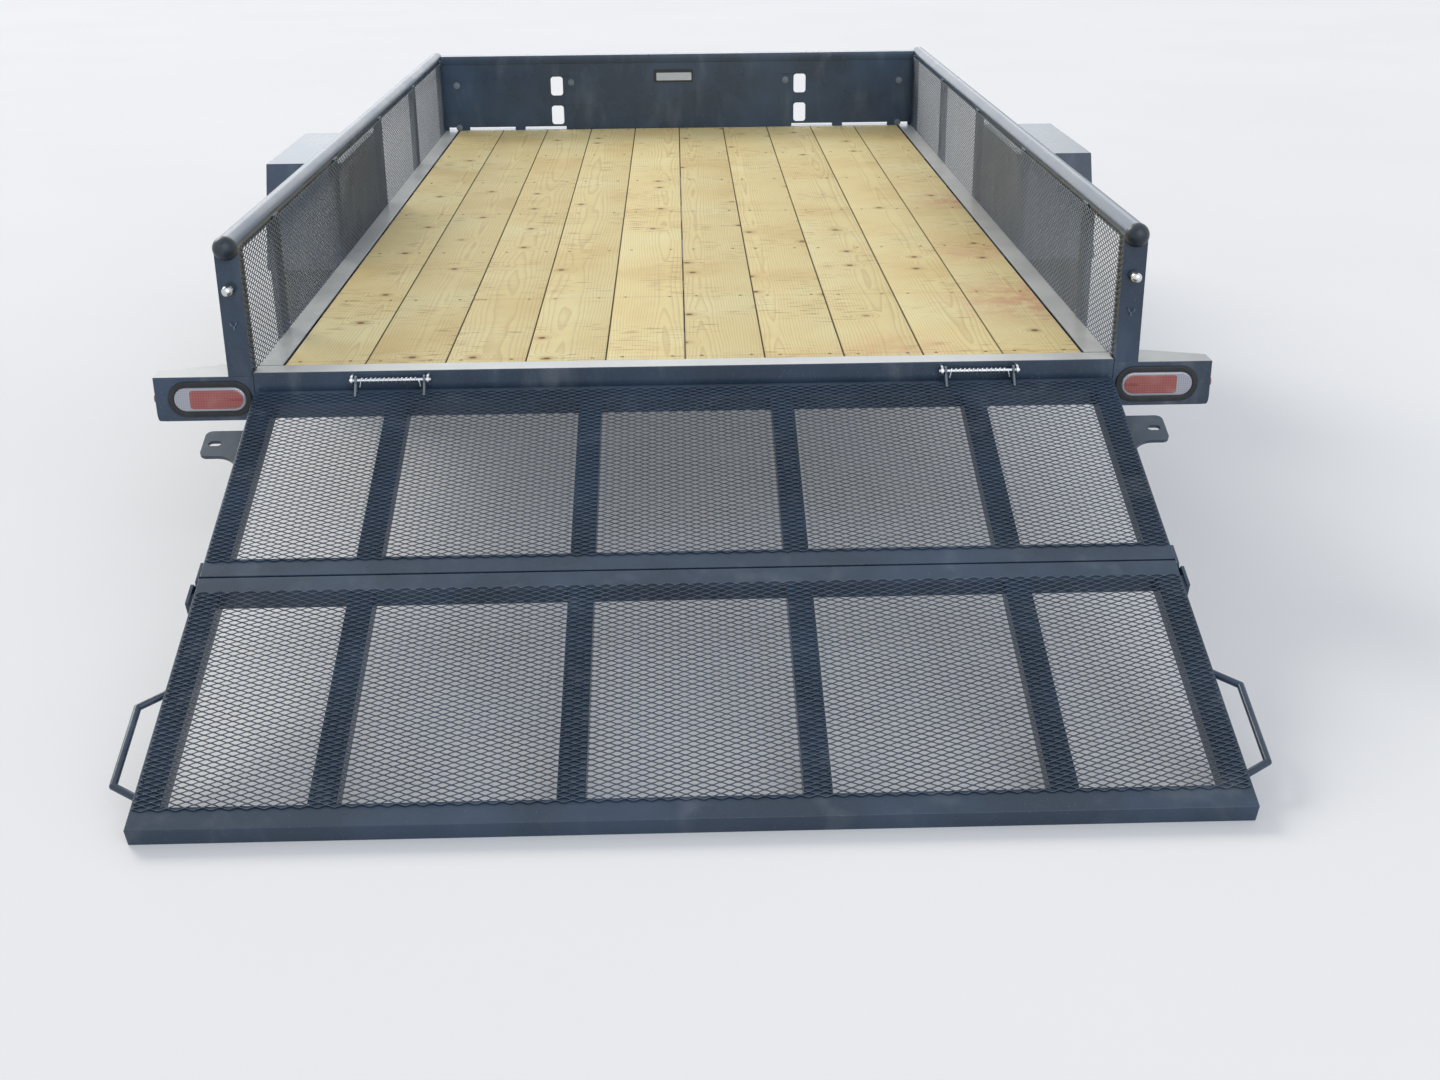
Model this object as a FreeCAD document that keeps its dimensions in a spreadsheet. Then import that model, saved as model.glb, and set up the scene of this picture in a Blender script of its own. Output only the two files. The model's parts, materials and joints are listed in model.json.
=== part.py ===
"""Single-axle utility trailer with a bi-fold ramp gate, parked on its jack.

Millimetres. +Y is forward along the tongue, +X is the right-hand side, +Z is up and the ground is at zero.
Pieces are drawn from the rear face of the bed, and every node is then moved along Y so that the origin lies
on the ground at the middle of the overall length.
"""

import FreeCAD
import Part
import Sketcher
import math
import os
import re

# Driving sizes: name, millimetres or degrees or a count, what it measures.
SIZES = [
    ("bed_length", 3658, "rear face of the rear crossmember to the front of the bed"),
    ("frame_half", 982, "half the width over the side rails"),
    ("frame_deep", 100, "height of the side rails and end crossmembers"),
    ("sheet", 4, "thickness of the formed steel of the frame"),
    ("corner_deep", 60, "depth of the end crossmembers"),
    ("rail_flange", 50, "width of the bottom flange of a side rail"),
    ("plank_count", 10, "deck planks"),
    ("plank_gap", 1.6, "gap between planks"),
    ("plank_thick", 38, "thickness of a plank"),
    ("plank_edge", 4, "gap between the outer planks and the top flange of the side rails"),
    ("deck_inset", 59.8, "side of the frame to the edge of the planks"),
    ("end_play", 2, "gap between the planks and the end crossmembers"),
    ("cross_count", 7, "inner crossmembers"),
    ("cross_flange", 40, "flange of an inner crossmember"),
    ("cross_room", 15, "gap between an end crossmember and the next one"),
    ("rail_side", 29, "side of the frame out to the middle of a top rail"),
    ("rail_over", 286, "top of the planks up to the middle of the top rails"),
    ("rail_round", 26, "outer radius of a top rail"),
    ("rail_wall", 3, "wall of a top rail, an upright and a post"),
    ("cap_over", 1.5, "how much larger than its rail a rail cap is"),
    ("cap_set", 2, "rear of the bed back to the middle of the dome of a rail cap"),
    ("upright_wide", 54, "width of a rear upright"),
    ("upright_deep", 45, "depth of a rear upright"),
    ("post_count", 5, "posts along a side wall"),
    ("post_first", 360, "rear of the bed to the first post"),
    ("post_wide", 50, "width of a wall post"),
    ("post_deep", 20, "depth of a wall post"),
    ("post_down", 94, "top of the planks down to the foot of the posts"),
    ("knob_down", 91, "middle of a top rail down to its latch knob"),
    ("knob_round", 13, "radius of a latch knob and its base"),
    ("knob_base", 5, "thickness of the base of a latch knob"),
    ("knob_out", 26, "rear of the bed back to the middle of a latch knob"),
    ("hook_down", 185, "middle of a top rail down to the foot of its latch hook"),
    ("hook_wide", 6, "width of a latch hook"),
    ("hook_tall", 18, "height of a latch hook"),
    ("hook_out", 14, "how far a latch hook stands out of its upright"),
    ("mesh_thick", 3, "thickness of the expanded metal"),
    ("mesh_under", 4, "middle of a top rail down to the top of its mesh"),
    ("mesh_inset", 10, "edge of a gate frame to the edge of its mesh"),
    ("mesh_bare", 41, "edge of a gate frame to the edge of its mesh at a bare bar"),
    ("strand", 9, "width of a strand of the expanded metal"),
    ("diamond_long", 118, "length of a diamond of the expanded metal"),
    ("wall_diamond", 66, "height of a diamond in the side walls"),
    ("gate_diamond", 80, "height of a diamond in the gate"),
    ("wall_set", 58, "front of the bed back to the rear face of the front wall"),
    ("wall_over", 15, "middle of the top rails up to the top of the front wall"),
    ("wall_sheet", 3, "thickness of the front wall"),
    ("wall_lip", 33, "height of the folded lip along the top of the front wall"),
    ("slot_side", 508, "middle of the front wall to its slots"),
    ("slot_wide", 50, "width of a slot in the front wall"),
    ("slot_round", 12, "corner radius of a slot in the front wall"),
    ("slot_low", 21, "top of the planks up to the lower slots"),
    ("slot_between", 42, "height of the sheet between two slots"),
    ("slot_over", 53, "upper slots to the folded lip"),
    ("seam_side", 445, "middle of the front wall to its two posts"),
    ("seam_wide", 44, "width of a post of the front wall"),
    ("seam_deep", 25, "depth of a post of the front wall"),
    ("drain_tall", 12, "height of the gaps under the front wall"),
    ("lamp_down", 8, "top of the planks down to the top of a lamp box"),
    ("lamp_tall", 104, "height of a lamp box"),
    ("lamp_near", 135, "depth of a lamp box beside the frame"),
    ("lamp_far", 58, "depth of a lamp box at its outer end"),
    ("lamp_set", 7, "side of the frame out to the rubber rim of a tail lamp"),
    ("lamp_end", 30, "rubber rim of a tail lamp to the outer end of its box"),
    ("lens_long", 165, "length of a tail lamp"),
    ("lens_tall", 57, "height of a tail lamp"),
    ("lens_deep", 10, "depth of a tail lamp inside its box"),
    ("lens_play", 2, "gap between a tail lamp and its box"),
    ("lamp_proud", 6, "how far a tail lamp stands out of its box"),
    ("grommet_rim", 13, "width of the rubber rim round a tail lamp"),
    ("grommet_proud", 5, "thickness of the rubber rim round a tail lamp"),
    ("marker_round", 11, "radius of a side marker"),
    ("marker_proud", 6, "how far a side marker stands out"),
    ("marker_in", 18, "rear of the bed to the middle of a side marker"),
    ("marker_down", 53, "top of a lamp box down to its side marker"),
    ("hinge_back", 18, "rear face of the bed back to the gate hinge axis"),
    ("hinge_down", 17, "top of the planks down to the gate hinge axis"),
    ("hinge_side", 670, "middle of the trailer to the middle of a gate hinge"),
    ("hinge_rod", 4, "radius of a hinge rod"),
    ("hinge_long", 172, "middle of one bracket lug of a gate hinge to the other"),
    ("hinge_end", 6, "how far a hinge rod runs past the middles of its lugs"),
    ("coil_long", 137, "length of a hinge coil"),
    ("coil_turns", 11, "turns of a hinge coil"),
    ("coil_wire", 1.5, "how far a turn of a hinge coil stands out, and half its width"),
    ("coil_sleeve", 5.3, "radius of the sleeve of a hinge coil"),
    ("lug_thick", 5, "thickness of a hinge lug"),
    ("lug_round", 11, "radius of a hinge eye"),
    ("lug_gap", 3.5, "gap between a bracket lug and the gate lug beside it"),
    ("lug_set", 6, "near edge of the gate to the foot of a gate lug"),
    ("lug_foot", 24, "length of the foot of a gate lug"),
    ("run_clear", 0.05, "radial clearance of a pin or spindle in its bore"),
    ("gate_inset", 4, "side of the frame in to the side of the gate"),
    ("gate_near", 18, "rear face of the bed back to the near edge of the gate"),
    ("gate_down", 39, "top of the planks down to the near edge of the gate"),
    ("gate_upper", 624, "length of the upper gate panel"),
    ("gate_lower", 642, "length of the lower gate panel"),
    ("gate_gap", 5, "gap between the two gate panels"),
    ("gate_deep", 38, "thickness of the gate frames"),
    ("bar_count", 4, "bars along a gate panel between its sides"),
    ("bar_pitch", 432, "middle of one of these bars to the next"),
    ("bar_wide", 51, "width of a gate bar"),
    ("bar_wall", 3, "wall of a gate bar"),
    ("fold_drop", 2.5, "underside of the gate frames to the fold axis"),
    ("fold_set", 15.5, "middle of the gap between the gate panels out to the fold axis"),
    ("ear_long", 120, "length over both ears at the fold"),
    ("ear_nose", 12, "fold axis to the edges of an ear"),
    ("ear_thick", 6, "thickness of an ear"),
    ("ear_gap", 0.5, "gap between two ears on one pin"),
    ("ear_pad_top", 6, "top of the gate frame to the pad behind a lower ear"),
    ("ear_pad_tall", 21, "height of the pad behind a lower ear"),
    ("ear_pad_long", 34, "length of the pad behind a lower ear"),
    ("pin_round", 6, "radius of a fold pin"),
    ("pin_proud", 4.5, "how far a fold pin stands out of its ears"),
    ("handle_rod", 7, "radius of a gate handle"),
    ("handle_out", 56, "how far a gate handle stands out"),
    ("handle_first", 297, "near edge of the lower panel to the near foot of its handle"),
    ("handle_last", 554, "near edge of the lower panel to the far foot of its handle"),
    ("handle_near_run", 36, "run of the near bent end of a gate handle"),
    ("handle_far_run", 30, "run of the far bent end of a gate handle"),
    ("tab_at", 170, "near edge of the gate to the slot of its latch tab"),
    ("tab_reach", 86, "how far a latch tab stands out of the gate"),
    ("tab_long", 90, "length of a latch tab along the gate"),
    ("tab_round", 16, "corner radius of a latch tab"),
    ("gusset_round", 48, "radius of the hollow gusset below a latch tab"),
    ("tab_thick", 8, "thickness of a latch tab"),
    ("tab_slot_in", 54, "side of the gate to the near end of the slot of a latch tab"),
    ("tab_slot_run", 11, "straight length of the slot of a latch tab"),
    ("tab_slot_round", 9, "half the width of the slot of a latch tab"),
    ("axle_back", 165, "middle of the bed back to the wheel centres"),
    ("wheel_side", 137, "side of the frame out to the middle of a tyre"),
    ("tyre_round", 331.5, "radius of a tyre"),
    ("tyre_half", 99, "half the width of a tyre"),
    ("tread_half", 50, "half the flat middle of a tread"),
    ("tread_drop", 8, "drop from the flat of a tread to its edge"),
    ("tread_edge", 24, "side of a tyre in to the edge of its tread"),
    ("shoulder_drop", 38, "drop from the flat of a tread to the shoulder"),
    ("shoulder_in", 6, "side of a tyre in to its shoulder"),
    ("bulge_up", 70, "bead seat up to the widest part of a tyre"),
    ("bead_up", 30, "bead seat up to the top of the bead"),
    ("bead_in", 8, "side of a tyre in to the top of the bead"),
    ("rim_round", 178, "radius of a rim at the bead seat"),
    ("rim_half", 76, "half the width of a rim"),
    ("rim_lip", 5, "thickness of the edge of a rim"),
    ("well_deep", 22, "bead seat down to the inner skin of a rim"),
    ("well_in", 40, "middle of a rim in to the start of its well"),
    ("crown_round", 95, "radius of the crown of a rim's disc"),
    ("crown_out", 24, "middle of a rim out to the back of its crown"),
    ("dish_round", 72, "radius of the dished middle of a rim's disc"),
    ("dish_out", 14, "middle of a rim out to the seat on its hub"),
    ("disc_thick", 6, "thickness of a rim's disc"),
    ("rim_hole", 34, "radius of the middle hole of a rim"),
    ("hand_count", 8, "hand holes round a rim"),
    ("hand_round", 17, "radius of a hand hole"),
    ("hand_ring", 124, "wheel centre to the middle of a hand hole"),
    ("hub_round", 62, "radius of the flange of a hub"),
    ("hub_in", 13, "middle of a rim in to the back of its hub"),
    ("cap_foot", 33, "radius of a hub cap at its foot"),
    ("cap_round", 30, "radius of a hub cap at its shoulder"),
    ("cap_tip", 22, "radius of a hub cap at its end"),
    ("cap_long", 52, "length of a hub cap"),
    ("cap_edge", 8, "length of the chamfer of a hub cap"),
    ("cap_wall", 6, "thickness of the end of a hub cap"),
    ("spindle_round", 20, "radius of a spindle"),
    ("spindle_long", 100, "length of a spindle"),
    ("spindle_in", 45, "middle of a tyre in to the foot of its spindle"),
    ("axle_round", 30, "radius of the axle beam"),
    ("axle_drop", 102, "spindle centre down to the axle beam"),
    ("axle_room", 18, "leaf spring out to the bend of the axle"),
    ("leaf_inset", 30, "side of the frame in to the middle of a leaf spring"),
    ("leaf_wide", 45, "width of a leaf spring"),
    ("leaf_thick", 7, "thickness of a leaf"),
    ("leaf_count", 4, "leaves in a spring"),
    ("leaf_step", 66, "how much shorter at each end a leaf is than the one above"),
    ("leaf_half", 330, "half the distance between the spring eyes"),
    ("leaf_sag", 62, "rise of the main leaf from its seat to its eyes"),
    ("eye_rise", 8, "top of the main leaf up to the middle of its eyes"),
    ("eye_round", 17, "radius of a spring eye"),
    ("eye_pin", 6, "radius of a spring pin"),
    ("hanger_rise", 31.5, "middle of a spring eye up to the frame"),
    ("hanger_low", 22, "middle of a spring eye down to the foot of its hanger"),
    ("hanger_long", 50, "length of a spring hanger"),
    ("hanger_thick", 6, "thickness of a cheek of a spring hanger"),
    ("hanger_gap", 0.5, "gap between a leaf spring and a cheek of its hanger"),
    ("hanger_pin", 3.5, "how far a spring pin stands out of its hanger"),
    ("clamp_rod", 6, "radius of the rods that clamp a spring to the axle"),
    ("clamp_room", 1, "gap between a clamp rod and the spring or axle"),
    ("clamp_play", 0.2, "gap between a clamp plate and the spring or axle"),
    ("clamp_plate", 8, "thickness of a clamp plate"),
    ("clamp_edge", 4, "clamp rod to the edge of its plate"),
    ("clamp_end", 6, "how far a clamp rod stands out of its plates"),
    ("fender_wide", 222, "width of a fender"),
    ("fender_over", 241, "top of the planks up to the top of a fender"),
    ("fender_flat", 590, "length of the flat top of a fender"),
    ("fender_slope", 130, "run of a sloped fender end"),
    ("fender_down", 49, "top of the planks down to the foot of a fender end"),
    ("fender_sheet", 3, "thickness of a fender"),
    ("lip_tall", 30, "height of the outer lip of a fender"),
    ("lip_foot", 36, "length of the outer lip at the foot of a fender"),
    ("lip_corner", 21, "inset of the inner corners of the outer lip"),
    ("tongue_reach", 1180, "front of the bed to the tips of the tongue rails"),
    ("tongue_back", 720, "how far the tongue rails run back under the bed"),
    ("tongue_angle", 23, "angle of a tongue rail to the centre line, degrees"),
    ("tongue_tip", 42, "middle of the trailer to a tongue rail at its tip"),
    ("tongue_tall", 76, "height of a tongue rail"),
    ("tongue_wide", 50, "width of a tongue rail"),
    ("plate_back", 250, "tips of the tongue rails back to the edge of the coupler plate"),
    ("plate_half", 150, "half the width of the coupler plate at the back"),
    ("plate_waist", 62, "half the width of the coupler plate at the tips of the rails"),
    ("plate_thick", 6, "thickness of the coupler plate"),
    ("nose_half", 36, "half the width of the coupler plate at the front"),
    ("nose_out", 40, "tips of the tongue rails to the front of the coupler plate"),
    ("nose_in", 12, "tips of the tongue rails back to the waist of the plate"),
    ("neck_wide", 56, "width of the neck of the coupler"),
    ("neck_tall", 40, "height of the neck of the coupler"),
    ("neck_back", 40, "tips of the tongue rails back to the end of the neck"),
    ("ball_round", 25.8, "inner radius of the coupler socket"),
    ("ball_rise", 20, "top of the tongue rails up to the middle of the ball"),
    ("socket_round", 33, "outer radius of the coupler socket"),
    ("socket_set", 22, "tips of the tongue rails to the back of the socket"),
    ("skirt_tall", 32, "height of the round wall below the middle of the ball"),
    ("lever_wide", 20, "width of the coupler lever"),
    ("lever_thick", 8, "thickness of the coupler lever"),
    ("lever_back", 30, "tips of the tongue rails back to the foot of the lever"),
    ("lever_long", 48, "length of the foot of the lever"),
    ("grip_back", 110, "tips of the tongue rails back to the end of the lever"),
    ("pin_back", 95, "tips of the tongue rails back to the pin hole of the lever"),
    ("pin_hole", 4, "radius of the pin hole of the lever"),
    ("jack_from_tip", 190, "tips of the tongue rails back to the jack"),
    ("jack_over", 251, "top of the tongue rails up to the top of the jack tube"),
    ("jack_under", 109, "top of the tongue rails down to the foot of the jack tube"),
    ("jack_round", 28.5, "outer radius of the jack tube"),
    ("jack_seat", 0.3, "gap between the jack tube and the coupler plate"),
    ("leg_round", 24.7, "radius of the jack leg"),
    ("leg_clear", 0.3, "radial clearance of the jack leg"),
    ("leg_top", 255, "top of the jack tube down to the top of its leg"),
    ("foot_round", 65, "radius of the jack foot"),
    ("foot_thick", 8, "thickness of the jack foot"),
    ("flange_round", 60, "radius of the flange of the jack"),
    ("crank_head", 30, "height of the head of the jack"),
    ("crank_out", 64, "middle of the jack to the crank arm"),
    ("crank_rod", 6, "radius of the crank shaft and thickness of its arm"),
    ("crank_wide", 10, "width of the crank arm"),
    ("crank_down", 100, "top of the jack tube down to the crank grip"),
    ("grip_round", 12, "radius of the crank grip"),
    ("grip_long", 90, "length of the crank grip"),
]

# Worked-out sizes: name and formula. Those further down may use those above.
WORKED = [
    ("deck_half", "frame_half - deck_inset"),
    ("plank_wide", "(2 * deck_half - (plank_count - 1) * plank_gap) / plank_count"),
    ("axle_height", "tyre_round - axle_drop"),
    ("leaf_low", "axle_height + axle_round"),
    ("leaf_high", "leaf_low + leaf_count * leaf_thick"),
    ("leaf_bend", "(leaf_half ^ 2 + leaf_sag ^ 2) / (2 * leaf_sag)"),
    ("eye_height", "leaf_high + leaf_sag + eye_rise"),
    ("frame_low", "eye_height + hanger_rise"),
    ("deck_top", "frame_low + frame_deep"),
    ("under_deck", "deck_top - plank_thick"),
    ("wall_in", "bed_length - wall_set"),
    ("plank_long", "wall_in - corner_deep - 2 * end_play"),
    ("cross_first", "corner_deep + cross_room"),
    ("cross_pitch", "(bed_length - 2 * cross_first - cross_flange) / (cross_count - 1)"),
    ("rail_half", "frame_half + rail_side"),
    ("rail_height", "deck_top + rail_over"),
    ("post_pitch", "(wall_in - post_first - post_wide) / (post_count - 1)"),
    ("wall_top", "rail_height + wall_over"),
    ("wall_half", "rail_half - rail_round"),
    ("slot_tall", "(wall_top - wall_lip - slot_over - slot_between - slot_low - deck_top) / 2"),
    ("lamp_top", "deck_top - lamp_down"),
    ("lamp_mid", "frame_half + lamp_set + grommet_rim + lens_long / 2"),
    ("lamp_out", "lamp_mid + lens_long / 2 + grommet_rim + lamp_end"),
    ("lamp_height", "lamp_top - lamp_tall / 2"),
    ("hinge_height", "deck_top - hinge_down"),
    ("lug_side", "hinge_long / 2 - lug_thick - lug_gap"),
    ("gate_half", "frame_half - gate_inset"),
    ("gate_rise", "deck_top - gate_down"),
    ("gate_total", "gate_upper + gate_gap + gate_lower"),
    ("gate_diagonal", "sqrt(gate_total ^ 2 + gate_deep ^ 2)"),
    ("gate_slope", "(asin(gate_rise / gate_diagonal) - atan(gate_deep / gate_total)) / 1 deg"),
    ("gate_reach", "gate_near + gate_total * cos(gate_slope)"),
    ("hinge_rise", "hinge_height - gate_rise"),
    ("eye_s", "(hinge_back - gate_near) * cos(gate_slope) - hinge_rise * sin(gate_slope)"),
    ("eye_n", "(hinge_back - gate_near) * sin(gate_slope) + hinge_rise * cos(gate_slope)"),
    ("fold_at", "-1 * gate_upper - gate_gap / 2 - fold_set"),
    ("fold_low", "-1 * gate_deep - fold_drop"),
    ("wheel_from_rear", "bed_length / 2 - axle_back"),
    ("wheel_half", "frame_half + wheel_side"),
    ("dish_front", "dish_out + disc_thick"),
    ("cap_front", "dish_out + cap_long"),
    ("leaf_side", "frame_half - leaf_inset"),
    ("leaf_edge", "leaf_side - leaf_wide / 2"),
    ("axle_bend", "leaf_side + leaf_wide / 2 + axle_room"),
    ("arm_run", "wheel_half - spindle_in - axle_bend"),
    ("clamp_x", "leaf_wide / 2 + clamp_room + clamp_rod"),
    ("clamp_y", "axle_round + clamp_room + clamp_rod"),
    ("clamp_half", "clamp_x + clamp_rod + clamp_edge"),
    ("clamp_long", "clamp_y + clamp_rod + clamp_edge"),
    ("clamp_top", "leaf_high + leaf_bend - sqrt(leaf_bend ^ 2 - clamp_long ^ 2) + clamp_play"),
    ("clamp_low", "leaf_low - 2 * axle_round - clamp_play - clamp_plate"),
    ("fender_in", "frame_half + post_deep"),
    ("fender_out", "fender_in + fender_wide"),
    ("fender_top", "deck_top + fender_over"),
    ("fender_low", "deck_top - fender_down"),
    ("fender_foot", "fender_flat / 2 + fender_slope"),
    ("tongue_top", "frame_low"),
    ("tongue_long", "(tongue_reach + tongue_back) / cos(tongue_angle)"),
    ("tip_y", "bed_length + tongue_reach"),
    ("socket_y", "tip_y + socket_set + socket_round"),
    ("jack_y", "tip_y - jack_from_tip"),
    ("jack_high", "tongue_top + jack_over"),
    ("jack_low", "tongue_top - jack_under"),
    ("rear_y", "(gate_reach - socket_y - socket_round) / 2"),
]

doc = FreeCAD.newDocument("trailer")
sheet = doc.addObject("Spreadsheet::Sheet", "sizes")
worked = doc.addObject("Spreadsheet::Sheet", "worked")
DRIVEN = {name for name, _, _ in SIZES}
DERIVED = {name for name, _ in WORKED}


def ex(text):
    """The expression for a formula whose words are names of sizes."""

    def full(match):
        word = match.group(0)
        if word in DRIVEN:
            return "sizes." + word
        return "worked." + word if word in DERIVED else word

    return re.sub(r"[a-z_]+[a-z0-9_]*", full, str(text))


for row, (name, size, meaning) in enumerate(SIZES, 1):
    sheet.set(f"A{row}", meaning)
    sheet.set(f"B{row}", str(size))
    sheet.setAlias(f"B{row}", name)
doc.recompute()
for row, (name, formula) in enumerate(WORKED, 1):
    worked.set(f"B{row}", "=" + ex(formula).replace("worked.", ""))
    worked.setAlias(f"B{row}", name)
    doc.recompute()


def val(text):
    """The number that a formula gives at the present sizes."""
    return float(sheet.evalExpression(ex(text).replace("sizes.", "")))


def number(name):
    """One size as a plain number."""
    return float(getattr(worked if name in DERIVED else sheet, name))


NODES = []


def bind(thing, **formulas):
    for prop, formula in formulas.items():
        thing.setExpression(prop.replace("__", "."), ex(formula))
    return thing


def place(thing, x=0, y=0, z=0):
    return bind(thing, Placement__Base__x=x, Placement__Base__y=y, Placement__Base__z=z)


def turned(thing, axis, angle):
    """Turns a piece about an axis through its own place by a bound angle in degrees."""
    thing.Placement = FreeCAD.Placement(thing.Placement.Base, FreeCAD.Rotation(FreeCAD.Vector(*axis), 1))
    return bind(thing, Placement__Rotation__Angle=angle)


def block(x, y, z, long_x, long_y, long_z):
    """A box from its low corner."""
    thing = doc.addObject("Part::Box", "block")
    bind(thing, Length=long_x, Width=long_y, Height=long_z)
    return place(thing, x, y, z)


TURN = {"X": ((0, 1, 0), 90), "Y": ((1, 0, 0), -90), "Z": ((0, 0, 1), 0)}


def rod(axis, radius, length, x, y, z):
    """A round bar that starts at a point and runs along +X, +Y or +Z."""
    thing = doc.addObject("Part::Cylinder", "rod")
    around, angle = TURN[axis]
    thing.Placement = FreeCAD.Placement(FreeCAD.Vector(), FreeCAD.Rotation(FreeCAD.Vector(*around), angle))
    bind(thing, Radius=radius, Height=length)
    return place(thing, x, y, z)


def ball(radius, x, y, z):
    thing = doc.addObject("Part::Sphere", "ball")
    bind(thing, Radius=radius)
    return place(thing, x, y, z)


def cut(base, *tools):
    tool = tools[0] if len(tools) == 1 else fuse(*tools)
    thing = doc.addObject("Part::Cut", "cut")
    thing.Base = base
    thing.Tool = tool
    return thing


def fuse(*pieces):
    thing = doc.addObject("Part::MultiFuse", "fuse")
    thing.Shapes = list(pieces)
    thing.Refine = True
    return thing


def common(*pieces):
    thing = doc.addObject("Part::MultiCommon", "common")
    thing.Shapes = list(pieces)
    return thing


def mirrored(piece):
    """The same piece on the other side of the trailer."""
    thing = doc.addObject("Part::Mirroring", "mirrored")
    thing.Source = piece
    thing.Base = (0, 0, 0)
    thing.Normal = (1, 0, 0)
    return thing


def both(piece):
    return [piece, mirrored(piece)]


def group(*pieces):
    thing = doc.addObject("Part::Compound", "pieces")
    thing.Links = list(pieces)
    return thing


def node(label, *pieces):
    """A finished sub-part, moved from the bed's own frame to the trailer's."""
    thing = group(*pieces)
    thing.Label = label
    place(thing, 0, "rear_y", 0)
    NODES.append(thing)
    return thing


def gate_node(label, *pieces):
    """A finished sub-part of the gate: drawn flat, with its near top edge at zero and running along -Y."""
    thing = group(*pieces)
    thing.Label = label
    turned(thing, (1, 0, 0), "gate_slope")
    place(thing, 0, "rear_y - gate_near", "gate_rise")
    NODES.append(thing)
    return thing


PLANES = {"XY": "XY_Plane", "XZ": "XZ_Plane", "YZ": "YZ_Plane"}


def outline(body, plane, points):
    """A closed sketch of straight edges whose corners are bound to formulas."""
    sketch = body.newObject("Sketcher::SketchObject", "outline")
    role = PLANES[plane]
    sketch.AttachmentSupport = [(next(f for f in body.Origin.OriginFeatures if f.Role == role), "")]
    sketch.MapMode = "FlatFace"
    spots = [FreeCAD.Vector(val(u), val(v), 0) for u, v in points]
    for k, spot in enumerate(spots):
        sketch.addGeometry(Part.LineSegment(spot, spots[(k + 1) % len(spots)]), False)
    for k in range(len(spots)):
        sketch.addConstraint(Sketcher.Constraint("Coincident", k, 2, (k + 1) % len(spots), 1))
    for k, (u, v) in enumerate(points):
        for kind, formula, spot in (("DistanceX", u, spots[k].x), ("DistanceY", v, spots[k].y)):
            at = sketch.addConstraint(Sketcher.Constraint(kind, -1, 1, k, 1, spot))
            sketch.setExpression(f"Constraints[{at}]", ex(formula))
    return sketch


def padded(plane, points, length, x=0, y=0, z=0):
    """A straight profile: in XZ it runs along +Y, in YZ along +X, in XY along +Z."""
    body = doc.addObject("PartDesign::Body", "profile")
    sketch = outline(body, plane, points)
    pad = body.newObject("PartDesign::Pad", "pad")
    pad.Profile = sketch
    pad.Reversed = plane == "XZ"
    bind(pad, Length=length)
    return place(body, x, y, z)


def revolved(points, x=0, y=0, z=0):
    """A turned piece about the X axis: each point is a place along X and a radius."""
    body = doc.addObject("PartDesign::Body", "turned")
    sketch = outline(body, "XY", points)
    spin = body.newObject("PartDesign::Revolution", "spin")
    spin.Profile = sketch
    spin.ReferenceAxis = (sketch, ["H_Axis"])
    spin.Angle = 360
    return place(body, x, y, z)


def channel(wide, tall, wall):
    """Corners of a C section that is open towards +U, from its low outer corner."""
    return [
        ("0", "0"), (wide, "0"), (wide, wall), (wall, wall),
        (wall, f"{tall} - {wall}"), (wide, f"{tall} - {wall}"), (wide, tall), ("0", tall),
    ]


def stadium(long_x, tall_z, depth, x, y, z):
    """A flat oval slab with its long side along X, its thickness along +Y and its middle at x and z."""
    run = f"(({long_x}) - ({tall_z}))"
    middle = block(f"{x} - {run} / 2", y, f"{z} - ({tall_z}) / 2", run, depth, tall_z)
    ends = [rod("Y", f"({tall_z}) / 2", depth, f"{x} + {way} * {run} / 2", y, z) for way in (-1, 1)]
    return fuse(middle, *ends)


def frame():
    """Side rails, end crossmembers, inner crossmembers and deck planks."""
    flange_in = "deck_half + plank_edge"
    rail = padded("XZ", [
        (flange_in, "deck_top"), ("frame_half", "deck_top"), ("frame_half", "frame_low"),
        ("frame_half - rail_flange", "frame_low"), ("frame_half - rail_flange", "frame_low + sheet"),
        ("frame_half - sheet", "frame_low + sheet"), ("frame_half - sheet", "deck_top - sheet"),
        (flange_in, "deck_top - sheet"),
    ], "bed_length - 2 * corner_deep", 0, "corner_deep")
    node("side_rails", *both(rail))
    section = channel("corner_deep", "frame_deep", "sheet")
    node("rear_crossmember", padded("YZ", section, "2 * frame_half", "-frame_half", 0, "frame_low"))
    front = [(f"-1 * ({u})", v) for u, v in section]
    node("front_crossmember", padded("YZ", front, "2 * frame_half", "-frame_half", "bed_length", "frame_low"))
    inner = channel("cross_flange", "under_deck - frame_low - sheet", "sheet")
    node("inner_crossmembers", *[
        padded("YZ", inner, "2 * (frame_half - sheet)", "sheet - frame_half",
               f"cross_first + {k} * cross_pitch", "frame_low + sheet")
        for k in range(int(number("cross_count")))
    ])
    node("deck_planks", *[
        block(f"{k} * (plank_wide + plank_gap) - deck_half", "corner_deep + end_play", "under_deck",
              "plank_wide", "plank_long", "plank_thick")
        for k in range(int(number("plank_count")))
    ])


def diamonds(long, tall, pitch_long, pitch_tall, strand):
    """Diamond holes of expanded metal in a long by tall sheet, as closed wires in the XY plane."""
    holes = []
    border = 1.5 * strand
    half_u = pitch_long / 2 - strand
    half_v = half_u * pitch_tall / pitch_long
    rows = int((tall - 2 * border) // (pitch_tall / 2)) - 1
    across = int((long - 2 * border) // pitch_long)
    start = (long - across * pitch_long) / 2
    base = (tall - (rows + 1) * pitch_tall / 2) / 2
    for r in range(rows):
        for k in range(across - r % 2):
            u = start + pitch_long * (k + 0.5 + r % 2 / 2)
            v = base + (r + 1) * pitch_tall / 2
            spots = [(u - half_u, v), (u, v - half_v), (u + half_u, v), (u, v + half_v), (u - half_u, v)]
            holes.append(Part.makePolygon([FreeCAD.Vector(a, b, 0) for a, b in spots]))
    return holes


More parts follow.
